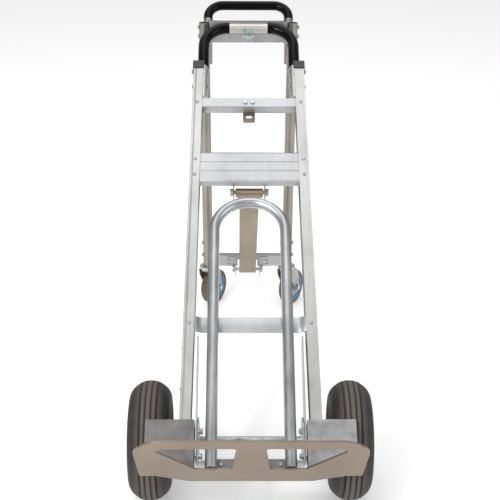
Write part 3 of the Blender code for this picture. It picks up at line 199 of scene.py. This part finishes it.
# the wheel guards' sheet in two copies: this darker one, on the left guard and the base angle, is painted shade
shadedGuardAluminium = aluminium("paintedShadeGuardAluminium", {
    "turn": stance["mainTurn"], "lines": (0.0018, 0.0018, 0.0018), "clouds": (0.05, 0.05, 0.05),
    "dark": "#6c6a69", "light": "#8a8887", "roughness": (0.40, 0.5), "bump": 0.12})
# the lighter copy on the right guard is painted light, with a coarser sparkle bump
litSparkleGuardAluminium = aluminium("paintedLightSparkleGuardAluminium", {
    "turn": stance["mainTurn"], "lines": (0.0026, 0.0026, 0.0026), "clouds": (0.03, 0.03, 0.03),
    "dark": "#8e8d8e", "light": "#b6b5b7", "roughness": (0.30, 0.52), "bump": 0.5})
zincFittings = zincPlate("zincPlatedSteel", {
    "spangle": (0.006, 0.006, 0.006), "dark": "#9aa2a5", "light": "#c9cfd0", "roughness": (0.26, 0.42)})
forkZinc = zincPlate("zincPlatedForkSteel", {
    "spangle": (0.010, 0.010, 0.010), "dark": "#98948d", "light": "#beb9b1", "roughness": (0.30, 0.45)})
blackVinyl = moulded("dippedBlackVinyl", {
    "grain": (0.0015, 0.0015, 0.0015), "dark": "#020202", "light": "#050506", "roughness": (0.10, 0.17),
    "ior": 1.24, "bump": 0.03})
capPlastic = moulded("mouldedCapPlastic", {
    "grain": (0.0010, 0.0010, 0.0010), "dark": "#29292b", "light": "#38383b", "roughness": (0.42, 0.55),
    "ior": 1.5, "bump": 0.12})
tyreRubber = moulded("vulcanisedTyreRubber", {
    "grain": (0.0012, 0.0012, 0.0012), "dark": "#1c1917", "light": "#2e2926", "roughness": (0.60, 0.80),
    "ior": 1.52, "bump": 0.16})
# road dust lies on the ribs' tops, and the grooves and sidewalls stay dark
treadDust = {"axis": (0.0, -0.39045, 0.13208), "low": 0.1205, "high": 0.1300, "colour": "#6b645b"}
treadCoords = addNode(tyreRubber, "ShaderNodeTexCoord")
fromAxle = addNode(tyreRubber, "ShaderNodeVectorMath", {"operation": "SUBTRACT", 1: treadDust["axis"]},
                   {0: (treadCoords, "Object")})
acrossAxle = addNode(tyreRubber, "ShaderNodeVectorMath", {"operation": "MULTIPLY", 1: (0.0, 1.0, 1.0)},
                     {0: (fromAxle, "Vector")})
treadHeight = addNode(tyreRubber, "ShaderNodeVectorMath", {"operation": "LENGTH"}, {0: (acrossAxle, "Vector")})
dustAmount = addNode(tyreRubber, "ShaderNodeMapRange",
                     {"From Min": treadDust["low"], "From Max": treadDust["high"], "To Max": 0.62},
                     {"Value": (treadHeight, "Value")})
tyreShader = tyreRubber.node_tree.nodes["Principled BSDF"]
bareRubber = tyreShader.inputs["Base Color"].links[0].from_node
dustMix = addNode(tyreRubber, "ShaderNodeMix", {"data_type": "RGBA"}, {"Factor": (dustAmount, "Result")})
tyreRubber.node_tree.links.new(bareRubber.outputs[2], dustMix.inputs[6])
dustMix.inputs[7].default_value = fromHex(treadDust["colour"])
tyreRubber.node_tree.links.new(dustMix.outputs[2], tyreShader.inputs["Base Color"])
rimPaint = moulded("enamelledRimSteel", {
    "grain": (0.0020, 0.0020, 0.0020), "dark": "#a9abad", "light": "#c2c4c6", "roughness": (0.30, 0.42),
    "ior": 1.5, "bump": 0.05, "coat": 0.3})
casterRubber = moulded("mouldedCasterRubber", {
    "grain": (0.0012, 0.0012, 0.0012), "dark": "#4a4230", "light": "#6a5f43", "roughness": (0.45, 0.62),
    "ior": 1.52, "bump": 0.10})
corePlastic = moulded("mouldedBlueCore", {
    "grain": (0.0012, 0.0012, 0.0012), "dark": "#2478a8", "light": "#3b97c6", "roughness": (0.30, 0.42),
    "ior": 1.49, "bump": 0.05})
webPlastic = moulded("mouldedGreyWeb", {
    "grain": (0.0012, 0.0012, 0.0012), "dark": "#8b8d8e", "light": "#a9abab", "roughness": (0.34, 0.46),
    "ior": 1.49, "bump": 0.05})
print("materials made")

finishes = {
    "left_rail": railAluminium, "right_rail": railAluminium, "main_handle": litCrownAluminium,
    "upper_crossbar": crossAluminium, "step": crossAluminium, "lower_strap": crossAluminium,
    "load_hoop": tubeAluminium, "left_side_plate": railAluminium, "right_side_plate": railAluminium,
    "left_rear_leg": legAluminium, "right_rear_leg": legAluminium, "rear_upper_beam": beamAluminium,
    "rear_lower_beam": beamAluminium, "rear_handle": legAluminium, "toe_plate": shadedPlateAluminium,
    "left_wheel_guard": shadedGuardAluminium, "right_wheel_guard": litSparkleGuardAluminium, "base_angle": shadedGuardAluminium,
    "catch_bracket": shadedPlateAluminium, "brace_clevis": braceAluminium, "brace": braceAluminium,
    "left_grip": blackVinyl, "right_grip": blackVinyl, "rear_grip": blackVinyl,
    "left_rail_cap": capPlastic, "right_rail_cap": capPlastic, "left_tyre": tyreRubber,
    "right_tyre": tyreRubber, "left_rim": rimPaint, "right_rim": rimPaint,
    "left_caster_tread": casterRubber, "right_caster_tread": casterRubber,
    "left_caster_core": corePlastic, "right_caster_core": corePlastic,
    "left_caster_fork": forkZinc, "right_caster_fork": forkZinc,
    "left_brace_lug": beamAluminium, "right_brace_lug": beamAluminium,
}


# Tools ----

def deselectAll():
    if bpy.context.object and bpy.context.object.mode != "OBJECT":
        bpy.ops.object.mode_set(mode="OBJECT")
    bpy.ops.object.select_all(action="DESELECT")


def onlySelect(piece):
    deselectAll()
    piece.select_set(True)
    bpy.context.view_layer.objects.active = piece


def applyModifier(piece, kind, settings):
    modifier = piece.modifiers.new(kind.lower(), kind)
    for key, value in settings.items():
        setattr(modifier, key, value)
    onlySelect(piece)
    bpy.ops.object.modifier_apply(modifier=modifier.name)


def finishPiece(piece, name, place, material, body, smooth=40.0, replaced=()):
    # moves the piece from its frame's axes to its place, and hands it to its body
    piece.name = name
    piece.data.name = name
    piece.matrix_world = place @ piece.matrix_world
    onlySelect(piece)
    bpy.ops.object.transform_apply(location=True, rotation=True, scale=True)
    bpy.ops.object.mode_set(mode="EDIT")
    bpy.ops.mesh.select_all(action="SELECT")
    bpy.ops.mesh.normals_make_consistent(inside=False)
    bpy.ops.object.mode_set(mode="OBJECT")
    if smooth:
        bpy.ops.object.shade_smooth_by_angle(angle=math.radians(smooth))
    piece.data.materials.clear()
    piece.data.materials.append(material)
    if replaced:
        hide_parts(*replaced)
    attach(piece, body)
    return piece


def roundedPath(corners, radii, steps):
    corners = [Vector(c) for c in corners]
    path = []
    for i, corner in enumerate(corners):
        if i in (0, len(corners) - 1) or radii[i] == 0:
            path.append(corner)
            continue
        back = (corners[i - 1] - corner).normalized()
        ahead = (corners[i + 1] - corner).normalized()
        half = back.angle(ahead) / 2
        centre = corner + (back + ahead).normalized() * radii[i] / math.sin(half)
        start = corner + back * radii[i] / math.tan(half) - centre
        stop = corner + ahead * radii[i] / math.tan(half) - centre
        sweep = start.angle(stop)
        for step in range(steps + 1):
            turn = sweep * step / steps
            path.append(centre + (start * math.sin(sweep - turn) + stop * math.sin(turn)) / math.sin(sweep))
    return path


def tubeAlong(path, radius, wall=0.0, sides=6):
    # a round tube along a path; with a wall it is open at both ends
    deselectAll()
    bpy.ops.curve.primitive_nurbs_path_add()
    tube = bpy.context.object
    tube.data.splines.clear()
    spline = tube.data.splines.new("POLY")
    spline.points.add(len(path) - 1)
    for point, place in zip(spline.points, path):
        point.co = (*place, 1.0)
    tube.data.bevel_depth = radius
    tube.data.bevel_resolution = sides
    tube.data.use_fill_caps = wall == 0.0
    onlySelect(tube)
    bpy.ops.object.convert(target="MESH")
    tube = bpy.context.object
    bpy.ops.object.mode_set(mode="EDIT")
    bpy.ops.mesh.select_all(action="SELECT")
    bpy.ops.mesh.remove_doubles(threshold=0.00001)
    bpy.ops.mesh.normals_make_consistent(inside=False)
    bpy.ops.object.mode_set(mode="OBJECT")
    if wall:
        applyModifier(tube, "SOLIDIFY", {"thickness": wall, "offset": -1.0})
    return tube


def spunPiece(profile, steps):
    # a closed profile of (radius, place along X) spun round the X axis
    deselectAll()
    bpy.ops.mesh.primitive_circle_add(vertices=len(profile), radius=0.01)
    piece = bpy.context.object
    for vertex, (radius, along) in zip(piece.data.vertices, profile):
        vertex.co = (along, 0.0, radius)
    bpy.ops.object.mode_set(mode="EDIT")
    bpy.ops.mesh.select_all(action="SELECT")
    bpy.ops.mesh.spin(steps=steps, angle=math.tau, center=(0, 0, 0), axis=(1, 0, 0))
    bpy.ops.mesh.select_all(action="SELECT")
    bpy.ops.mesh.remove_doubles(threshold=0.00002)
    bpy.ops.mesh.normals_make_consistent(inside=False)
    bpy.ops.object.mode_set(mode="OBJECT")
    return piece


def copyTo(master, name, place, material, body):
    piece = master.copy()
    piece.data = master.data.copy()
    bpy.context.collection.objects.link(piece)
    piece.matrix_world = Matrix.Identity(4)
    return finishPiece(piece, name, place, material, body, smooth=35.0)


def dropMaster(master):
    bpy.data.objects.remove(master, do_unlink=True)


def facing(place, point, towards):
    # a place in a frame where a fastener's own Z looks along a direction
    turn = Vector(towards).to_track_quat("Z", "X").to_matrix().to_4x4()
    return place @ Matrix.Translation(point) @ turn


# CAD nodes ----

softEdges = {"weld": 0.00001, "width": 0.0007, "segments": 2}
notSoftened = ("left_tyre", "right_tyre", "latch_ring")
for name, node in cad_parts.items():
    material = finishes.get(name, zincFittings)
    node.data.materials.clear()
    node.data.materials.append(material)
    if name in notSoftened:
        continue
    weld = node.modifiers.new("weld", "WELD")
    weld.merge_threshold = softEdges["weld"]
    bevel = node.modifiers.new("softEdge", "BEVEL")
    bevel.width = softEdges["width"]
    bevel.segments = softEdges["segments"]
    bevel.limit_method = "ANGLE"
    bevel.angle_limit = math.radians(40)
print("frame dressed")


# Tubes ----

handle = {"radius": 0.0127, "half": 0.118, "foot": 1.027, "crown": 1.2736, "behind": 0.029, "bend": 0.065,
          "gripFoot": 1.134, "gripHalf": 0.0505, "gripRadius": 0.0144}
handlePath = roundedPath([(-handle["half"], handle["behind"], handle["foot"]),
                          (-handle["half"], handle["behind"], handle["crown"]),
                          (handle["half"], handle["behind"], handle["crown"]),
                          (handle["half"], handle["behind"], handle["foot"])],
                         [0, handle["bend"], handle["bend"], 0], 16)
finishPiece(tubeAlong(handlePath, handle["radius"], sides=10), "mainHandleTube", mainFrame, litCrownAluminium,
            "main_frame", replaced=("main_handle",))
for side, hand in ((-1, "left"), (1, "right")):
    gripPath = roundedPath([(side * handle["half"], handle["behind"], handle["gripFoot"]),
                            (side * handle["half"], handle["behind"], handle["crown"]),
                            (side * handle["gripHalf"], handle["behind"], handle["crown"])],
                           [0, handle["bend"], 0], 16)
    grip = tubeAlong(gripPath, handle["gripRadius"], wall=0.0013, sides=10)
    applyModifier(grip, "BEVEL", {"width": 0.0006, "segments": 2, "limit_method": "ANGLE",
                                  "angle_limit": math.radians(50)})
    finishPiece(grip, hand + "GripSleeve", mainFrame, blackVinyl, "main_frame", replaced=(hand + "_grip",))

hoop = {"radius": 0.0127, "half": 0.083, "crown": 0.678, "behind": -0.002, "foot": 0.0049}
hoopPath = roundedPath([(-hoop["half"], hoop["behind"], hoop["foot"]), (-hoop["half"], hoop["behind"], hoop["crown"]),
                        (hoop["half"], hoop["behind"], hoop["crown"]), (hoop["half"], hoop["behind"], hoop["foot"])],
                       [0, hoop["half"] - 0.001, hoop["half"] - 0.001, 0], 20)
finishPiece(tubeAlong(hoopPath, hoop["radius"], sides=10), "loadHoopTube", mainFrame, tubeAluminium, "main_frame",
            replaced=("load_hoop",))

rearHandle = {"radius": 0.0111, "half": 0.109, "behind": 0.0495, "knee": 0.697, "drop": 0.110, "bend": 50.0,
              "reach": 0.062, "corner": 0.040, "kneeRadius": 0.024, "collar": 0.012, "gripRadius": 0.0125}
bendTurn = math.radians(rearHandle["bend"])
crownBack = rearHandle["behind"] + rearHandle["reach"] * math.sin(bendTurn)
crownUp = rearHandle["knee"] + rearHandle["reach"] * math.cos(bendTurn)
rearPath = roundedPath(
    [(-rearHandle["half"], rearHandle["behind"], rearHandle["knee"] - rearHandle["drop"]),
     (-rearHandle["half"], rearHandle["behind"], rearHandle["knee"]), (-rearHandle["half"], crownBack, crownUp),
     (rearHandle["half"], crownBack, crownUp), (rearHandle["half"], rearHandle["behind"], rearHandle["knee"]),
     (rearHandle["half"], rearHandle["behind"], rearHandle["knee"] - rearHandle["drop"])],
    [0, rearHandle["kneeRadius"], rearHandle["corner"], rearHandle["corner"], rearHandle["kneeRadius"], 0], 10)
finishPiece(tubeAlong(rearPath, rearHandle["radius"], sides=10), "rearHandleTube", rearFrame, legAluminium,
            "rear_frame", replaced=("rear_handle",))
gripBack = rearHandle["behind"] + rearHandle["collar"] * math.sin(bendTurn)
gripUp = rearHandle["knee"] + rearHandle["collar"] * math.cos(bendTurn)
rearGripPath = roundedPath(
    [(-rearHandle["half"], gripBack, gripUp), (-rearHandle["half"], crownBack, crownUp),
     (rearHandle["half"], crownBack, crownUp), (rearHandle["half"], gripBack, gripUp)],
    [0, rearHandle["corner"], rearHandle["corner"], 0], 12)
rearGrip = tubeAlong(rearGripPath, rearHandle["gripRadius"], wall=0.0010, sides=10)
finishPiece(rearGrip, "rearGripSleeve", rearFrame, blackVinyl, "rear_frame", replaced=("rear_grip",))

leg = {"radius": 0.014, "wall": 0.002}
for side, hand in ((-1, "left"), (1, "right")):
    legPath = [Vector((side * legHalf(0.0004), 0.024, 0.0024)),
               Vector((side * legHalf(stance["legLength"]), 0.024, 0.002 + stance["legLength"]))]
    legTube = tubeAlong(legPath, leg["radius"], wall=leg["wall"], sides=14)
    finishPiece(legTube, hand + "RearLegTube", rearFrame, legAluminium, "rear_frame", replaced=(hand + "_rear_leg",))
print("tubes made")


# Lower strap ----

strap = {"half": 0.1459, "tip": 0.1248, "run": 0.014, "near": 0.0049, "bow": 0.009, "wall": 0.003,
         "low": 0.3325, "high": 0.371, "bend": 0.024}
halfStrap = [(strap["half"], strap["near"]), (strap["tip"], strap["near"]),
             (strap["tip"] - strap["run"], strap["near"] + strap["bow"])]
strapLine = [(-x, y, 0.0) for x, y in halfStrap] + [(x, y, 0.0) for x, y in reversed(halfStrap)]
strapPath = roundedPath(strapLine, [0, strap["bend"], strap["bend"], strap["bend"], strap["bend"], 0], 8)
deselectAll()
bpy.ops.curve.primitive_nurbs_path_add()
band = bpy.context.object
band.data.dimensions = "2D"
band.data.fill_mode = "NONE"
band.data.splines.clear()
bandLine = band.data.splines.new("POLY")
bandLine.points.add(len(strapPath) - 1)
for point, place in zip(bandLine.points, strapPath):
    point.co = (*place, 1.0)
band.data.extrude = (strap["high"] - strap["low"]) / 2
onlySelect(band)
bpy.ops.object.convert(target="MESH")
band = bpy.context.object
applyModifier(band, "SOLIDIFY", {"thickness": strap["wall"], "offset": 0.0})
applyModifier(band, "BEVEL", {"width": 0.0006, "segments": 2, "limit_method": "ANGLE",
                              "angle_limit": math.radians(50)})
strapPlace = mainFrame @ Matrix.Translation((0.0, 0.0, (strap["low"] + strap["high"]) / 2))
finishPiece(band, "lowerStrapBand", strapPlace, crossAluminium, "main_frame", replaced=("lower_strap",))
print("strap made")


# Tyres ----

tyre = {"steps": 240, "bore": 0.0519, "radius": 0.132, "crownDrop": 0.0112, "treadHalf": 0.031,
        "grooves": (0.0060, 0.0175), "grooveHalf": 0.0021, "grooveDepth": 0.0045, "zigzag": 0.0019}


def treadRadius(across):
    return tyre["radius"] - tyre["crownDrop"] * (across / tyre["treadHalf"]) ** 2


def tyreProfile():
    half = [(treadRadius(0.0030), 0.0030)]
    for groove in tyre["grooves"]:
        near, far = groove - tyre["grooveHalf"], groove + tyre["grooveHalf"]
        half += [(treadRadius(near), near), (treadRadius(near) - tyre["grooveDepth"], near + 0.0006),
                 (treadRadius(far) - tyre["grooveDepth"], far - 0.0006), (treadRadius(far), far)]
    half += [(treadRadius(0.027), 0.027), (treadRadius(tyre["treadHalf"]), tyre["treadHalf"]),
             (0.1168, 0.0355), (0.1130, 0.0392), (0.1122, 0.0390), (0.1085, 0.0420), (0.1020, 0.0448),
             (0.0940, 0.0458), (0.0850, 0.0448), (0.0840, 0.0452), (0.0800, 0.0440), (0.0700, 0.0385),
             (0.0620, 0.0318), (0.0585, 0.0284), (tyre["bore"], 0.0281)]
    return [(radius, -across) for radius, across in half] + [(radius, across) for radius, across in reversed(half)]


for side, hand in ((-1, "left"), (1, "right")):
    wheel = spunPiece(tyreProfile(), tyre["steps"])
    for vertex in wheel.data.vertices:
        radius = math.hypot(vertex.co.y, vertex.co.z)
        across = abs(vertex.co.x)
        nearGroove = min(abs(across - groove) for groove in tyre["grooves"]) < tyre["grooveHalf"] + 0.0002
        if radius > 0.12 and nearGroove:
            step = round(math.atan2(vertex.co.y, vertex.co.z) / math.tau * tyre["steps"])
            vertex.co.x += tyre["zigzag"] * (1 if step % 2 else -1)
    place = Matrix.Translation(mainFrame @ Vector((side * stance["wheelHalfTrack"], stance["axleBehind"],
                                                   stance["axleUp"])))
    finishPiece(wheel, hand + "TreadedTyre", place, tyreRubber, hand + "_wheel", smooth=38.0,
                replaced=(hand + "_tyre",))
    # the valve stands in the rim's dish
    valve = spunPiece([(0.0001, 0.0), (0.0042, 0.0), (0.0042, 0.004), (0.0032, 0.006), (0.0032, 0.016),
                       (0.0038, 0.0165), (0.0038, 0.0215), (0.0030, 0.0225), (0.0001, 0.0225)], 16)
    outward = Matrix.Scale(side, 4, (1, 0, 0))
    finishPiece(valve, hand + "TyreValve", place @ Matrix.Translation((side * 0.004, 0.036, 0.0)) @ outward,
                capPlastic, hand + "_wheel")
print("tyres made")


# Casters ----

caster = {"core": 0.0374, "radius": 0.0508, "half": 0.016}
for side, hand in ((-1, "left"), (1, "right")):
    foot = rearFrame @ Matrix.Translation((side * stance["legHalfFoot"], 0.024, 0.002))
    swivel = foot @ Matrix.Rotation(math.radians(stance["casterSwivel"]), 4, "Z")
    hub = swivel @ Matrix.Translation((0.0, stance["casterTrail"], stance["casterAxle"]))
    halfTread = [(0.0508, 0.0001), (0.0508, 0.006), (0.0505, 0.0095), (0.0494, 0.0128), (0.0470, 0.0150),
                 (0.0445, 0.0158), (caster["core"], 0.0142)]
    treadLoop = [(r, -x) for r, x in halfTread] + [(r, x) for r, x in reversed(halfTread)]
    finishPiece(spunPiece(treadLoop, 72), hand + "CasterTyre", hub, casterRubber, hand + "_caster_wheel",
                replaced=(hand + "_caster_tread",))
    halfCore = [(0.0370, 0.0001), (0.0370, 0.0146), (0.0352, 0.0150), (0.0322, 0.0150), (0.0304, 0.0138),
                (0.0300, 0.0110)]
    coreLoop = [(r, -x) for r, x in halfCore] + [(r, x) for r, x in reversed(halfCore)]
    finishPiece(spunPiece(coreLoop, 72), hand + "CasterCoreRing", hub, corePlastic, hand + "_caster_wheel",
                replaced=(hand + "_caster_core",))
    halfWeb = [(0.0299, 0.0001), (0.0299, 0.0122), (0.0284, 0.0130), (0.0150, 0.0130), (0.0112, 0.0136),
               (0.0110, 0.0178), (0.0056, 0.0178)]
    webLoop = [(r, -x) for r, x in halfWeb] + [(r, x) for r, x in reversed(halfWeb)]
    finishPiece(spunPiece(webLoop, 72), hand + "CasterWeb", hub, webPlastic, hand + "_caster_wheel")
print("casters made")


# Fasteners ----

def makeRivet(radius, height):
    # a domed head on a thin brim
    deselectAll()
    bpy.ops.mesh.primitive_uv_sphere_add(segments=20, ring_count=10, radius=radius)
    rivet = bpy.context.object
    bpy.ops.object.mode_set(mode="EDIT")
    bpy.ops.mesh.select_all(action="SELECT")
    bpy.ops.mesh.bisect(plane_co=(0, 0, 0), plane_no=(0, 0, 1), use_fill=True, clear_inner=True)
    bpy.ops.mesh.select_all(action="SELECT")
    bpy.ops.transform.resize(value=(1.0, 1.0, height / radius))
    bpy.ops.object.mode_set(mode="OBJECT")
    return rivet


def makeHexHead(radius, height):
    # a six-sided head with its corners turned off, on a washer
    deselectAll()
    bpy.ops.mesh.primitive_cylinder_add(vertices=6, radius=radius, depth=height, location=(0, 0, height / 2 + 0.0012))
    head = bpy.context.object
    bpy.ops.object.transform_apply(location=True, rotation=True, scale=True)
    applyModifier(head, "BEVEL", {"width": radius * 0.10, "segments": 2, "limit_method": "ANGLE"})
    bpy.ops.mesh.primitive_cylinder_add(vertices=24, radius=radius * 1.25, depth=0.0012, location=(0, 0, 0.0006))
    washer = bpy.context.object
    bpy.ops.object.transform_apply(location=True, rotation=True, scale=True)
    onlySelect(head)
    washer.select_set(True)
    bpy.ops.object.join()
    return head


def makeSocketHead(radius, height):
    # a button head with a six-sided recess
    deselectAll()
    bpy.ops.mesh.primitive_uv_sphere_add(segments=24, ring_count=12, radius=radius)
    head = bpy.context.object
    bpy.ops.object.mode_set(mode="EDIT")
    bpy.ops.mesh.select_all(action="SELECT")
    bpy.ops.mesh.bisect(plane_co=(0, 0, 0), plane_no=(0, 0, 1), use_fill=True, clear_inner=True)
    bpy.ops.mesh.select_all(action="SELECT")
    bpy.ops.mesh.bisect(plane_co=(0, 0, radius * 0.8), plane_no=(0, 0, 1), use_fill=True, clear_outer=True)
    bpy.ops.mesh.select_all(action="SELECT")
    bpy.ops.transform.resize(value=(1.0, 1.0, height / radius))
    bpy.ops.object.mode_set(mode="OBJECT")
    for face in head.data.polygons:
        face.select = face.normal.z > 0.99 and face.center.z > height * 0.5
    bpy.ops.object.mode_set(mode="EDIT")
    bpy.ops.mesh.select_mode(type="FACE")
    bpy.ops.mesh.inset(thickness=radius * 0.18, depth=0.0)
    bpy.ops.mesh.inset(thickness=0.0, depth=-height * 0.45)
    bpy.ops.object.mode_set(mode="OBJECT")
    return head


rivet = makeRivet(0.0042, 0.0022)
rivets = {"crossbar": ((0.9935,), 0.0125), "step": ((0.765, 0.812), 0.0125), "strap": ((0.3515,), 0.0135)}
for group, (heights, inset) in rivets.items():
    for height in heights:
        for side, hand in ((-1, "left"), (1, "right")):
            point = (side * (railHalf(height) - inset), 0.0, height)
            copyTo(rivet, f"{hand}Rivet{group}{round(height * 1000)}", facing(mainFrame, point, (0, -1, 0)),
                   tubeAluminium, "main_frame")
for height in (0.10, 0.20, 0.30):
    for side, hand in ((-1, "left"), (1, "right")):
        point = (side * (railHalf(height) + 0.0001), 0.029, height)
        copyTo(rivet, f"{hand}WebRivet{round(height * 1000)}", facing(mainFrame, point, (side, 0, 0)),
               tubeAluminium, "main_frame")
dropMaster(rivet)

legBolt = makeHexHead(0.0048, 0.0035)
for side, hand in ((-1, "left"), (1, "right")):
    for height in (0.0338, 0.0708, 0.665, 0.690):
        for way, reach in (("Outer", 0.0138), ("Inner", -0.0168)):
            point = (side * (legHalf(height) + reach), 0.024, height + 0.002)
            towards = (side if reach > 0 else -side, 0, 0)
            copyTo(legBolt, f"{hand}{way}LegBolt{round(height * 1000)}", facing(rearFrame, point, towards),
                   zincFittings, "rear_frame")
dropMaster(legBolt)

bracketBolt = makeHexHead(0.0064, 0.0080)
for side, hand in ((-1, "left"), (1, "right")):
    for height in (0.0385, 0.095):
        copyTo(bracketBolt, f"{hand}BracketBolt{round(height * 1000)}",
               facing(mainFrame, (side * 0.1108, 0.020, height), (-side, 0, 0)),
               zincFittings, "main_frame")
dropMaster(bracketBolt)

lugBolt = makeHexHead(0.0038, 0.0030)
for side, hand in ((-1, "left"), (1, "right")):
    for height in (0.0125, 0.0225):
        point = (side * 0.0555, 0.0067, height)
        copyTo(lugBolt, f"{hand}LugBolt{round(height * 10000)}", facing(rearFrame, point, (0, -1, 0)),
               zincFittings, "rear_frame")
dropMaster(lugBolt)

plateBolt = makeSocketHead(0.0055, 0.0035)
for side, hand in ((-1, "left"), (1, "right")):
    copyTo(plateBolt, hand + "AngleBolt", facing(mainFrame, (side * 0.062, 0.0112, 0.0165), (0, -1, 0)),
           zincFittings, "main_frame")
    copyTo(plateBolt, hand + "CrownBolt", facing(latchFrame, (side * 0.0385, -0.0122, 0.0), (0, -1, 0)),
           zincFittings, "main_frame")
dropMaster(plateBolt)
print("fasteners made")


# Stage, lights and camera ----

def plainMaterial(name, colour, roughness):
    material, shader = newMaterial(name, {"Base Color": fromHex(colour), "Roughness": roughness,
                                          "Emission Color": fromHex(colour), "Emission Strength": 0.23})
    mottle = addNode(material, "ShaderNodeTexNoise", {"Scale": 1.0, "Detail": 3.0},
                     {"Vector": (sizedCoords(material, 0.0, (0.4, 0.4, 0.4)), "Vector")})
    spreadRoughness(material, shader, mottle, "Fac", roughness - 0.05, roughness + 0.05)
    return material


deselectAll()
bpy.ops.mesh.primitive_plane_add(size=60.0, location=(0, 0, 0))
floor = bpy.context.object
floor.name = "studioFloor"
floor.data.materials.append(plainMaterial("paintedStudioFloor", "#fcfcfc", 0.6))

studio = {"world": ("#ffffff", 0.53)}
lamps = {
    "keySoftbox": {"place": (-2.2, -2.6, 3.4), "aim": (0, 0, 0.4), "size": 2.4, "power": 62},
    "fillSoftbox": {"place": (3.0, -1.8, 2.2), "aim": (0, 0, 0.4), "size": 2.6, "power": 32},
    "topSoftbox": {"place": (0.0, 1.2, 4.2), "aim": (0, 0, 0.3), "size": 3.2, "power": 46},
    "stripSoftbox": {"place": (-1.5, -2.4, 2.7), "aim": (0, 0, 0.5), "size": 0.45, "power": 32},
}
for name, lamp in lamps.items():
    bpy.ops.object.light_add(type="AREA", location=lamp["place"])
    light = bpy.context.object
    light.name = name
    light.data.size = lamp["size"]
    light.data.energy = lamp["power"]
    light.rotation_euler = (Vector(lamp["aim"]) - Vector(lamp["place"])).to_track_quat("-Z", "Y").to_euler()

world = bpy.data.worlds.new("studioWorld")
bpy.context.scene.world = world
world.use_nodes = True
world.node_tree.nodes["Background"].inputs["Color"].default_value = fromHex(studio["world"][0])
world.node_tree.nodes["Background"].inputs["Strength"].default_value = studio["world"][1]

shot = {"place": (-0.028, -2.6205, 1.6546), "turn": (64.67, -0.31, -0.50), "lens": 86.4}
bpy.ops.object.camera_add(location=shot["place"], rotation=[math.radians(a) for a in shot["turn"]])
camera = bpy.context.object
camera.data.lens = shot["lens"]
camera.data.sensor_width = 36.0
camera.data.clip_start = 0.05
camera.data.clip_end = 60.0
bpy.context.scene.camera = camera
bpy.context.scene.view_settings.view_transform = "Standard"
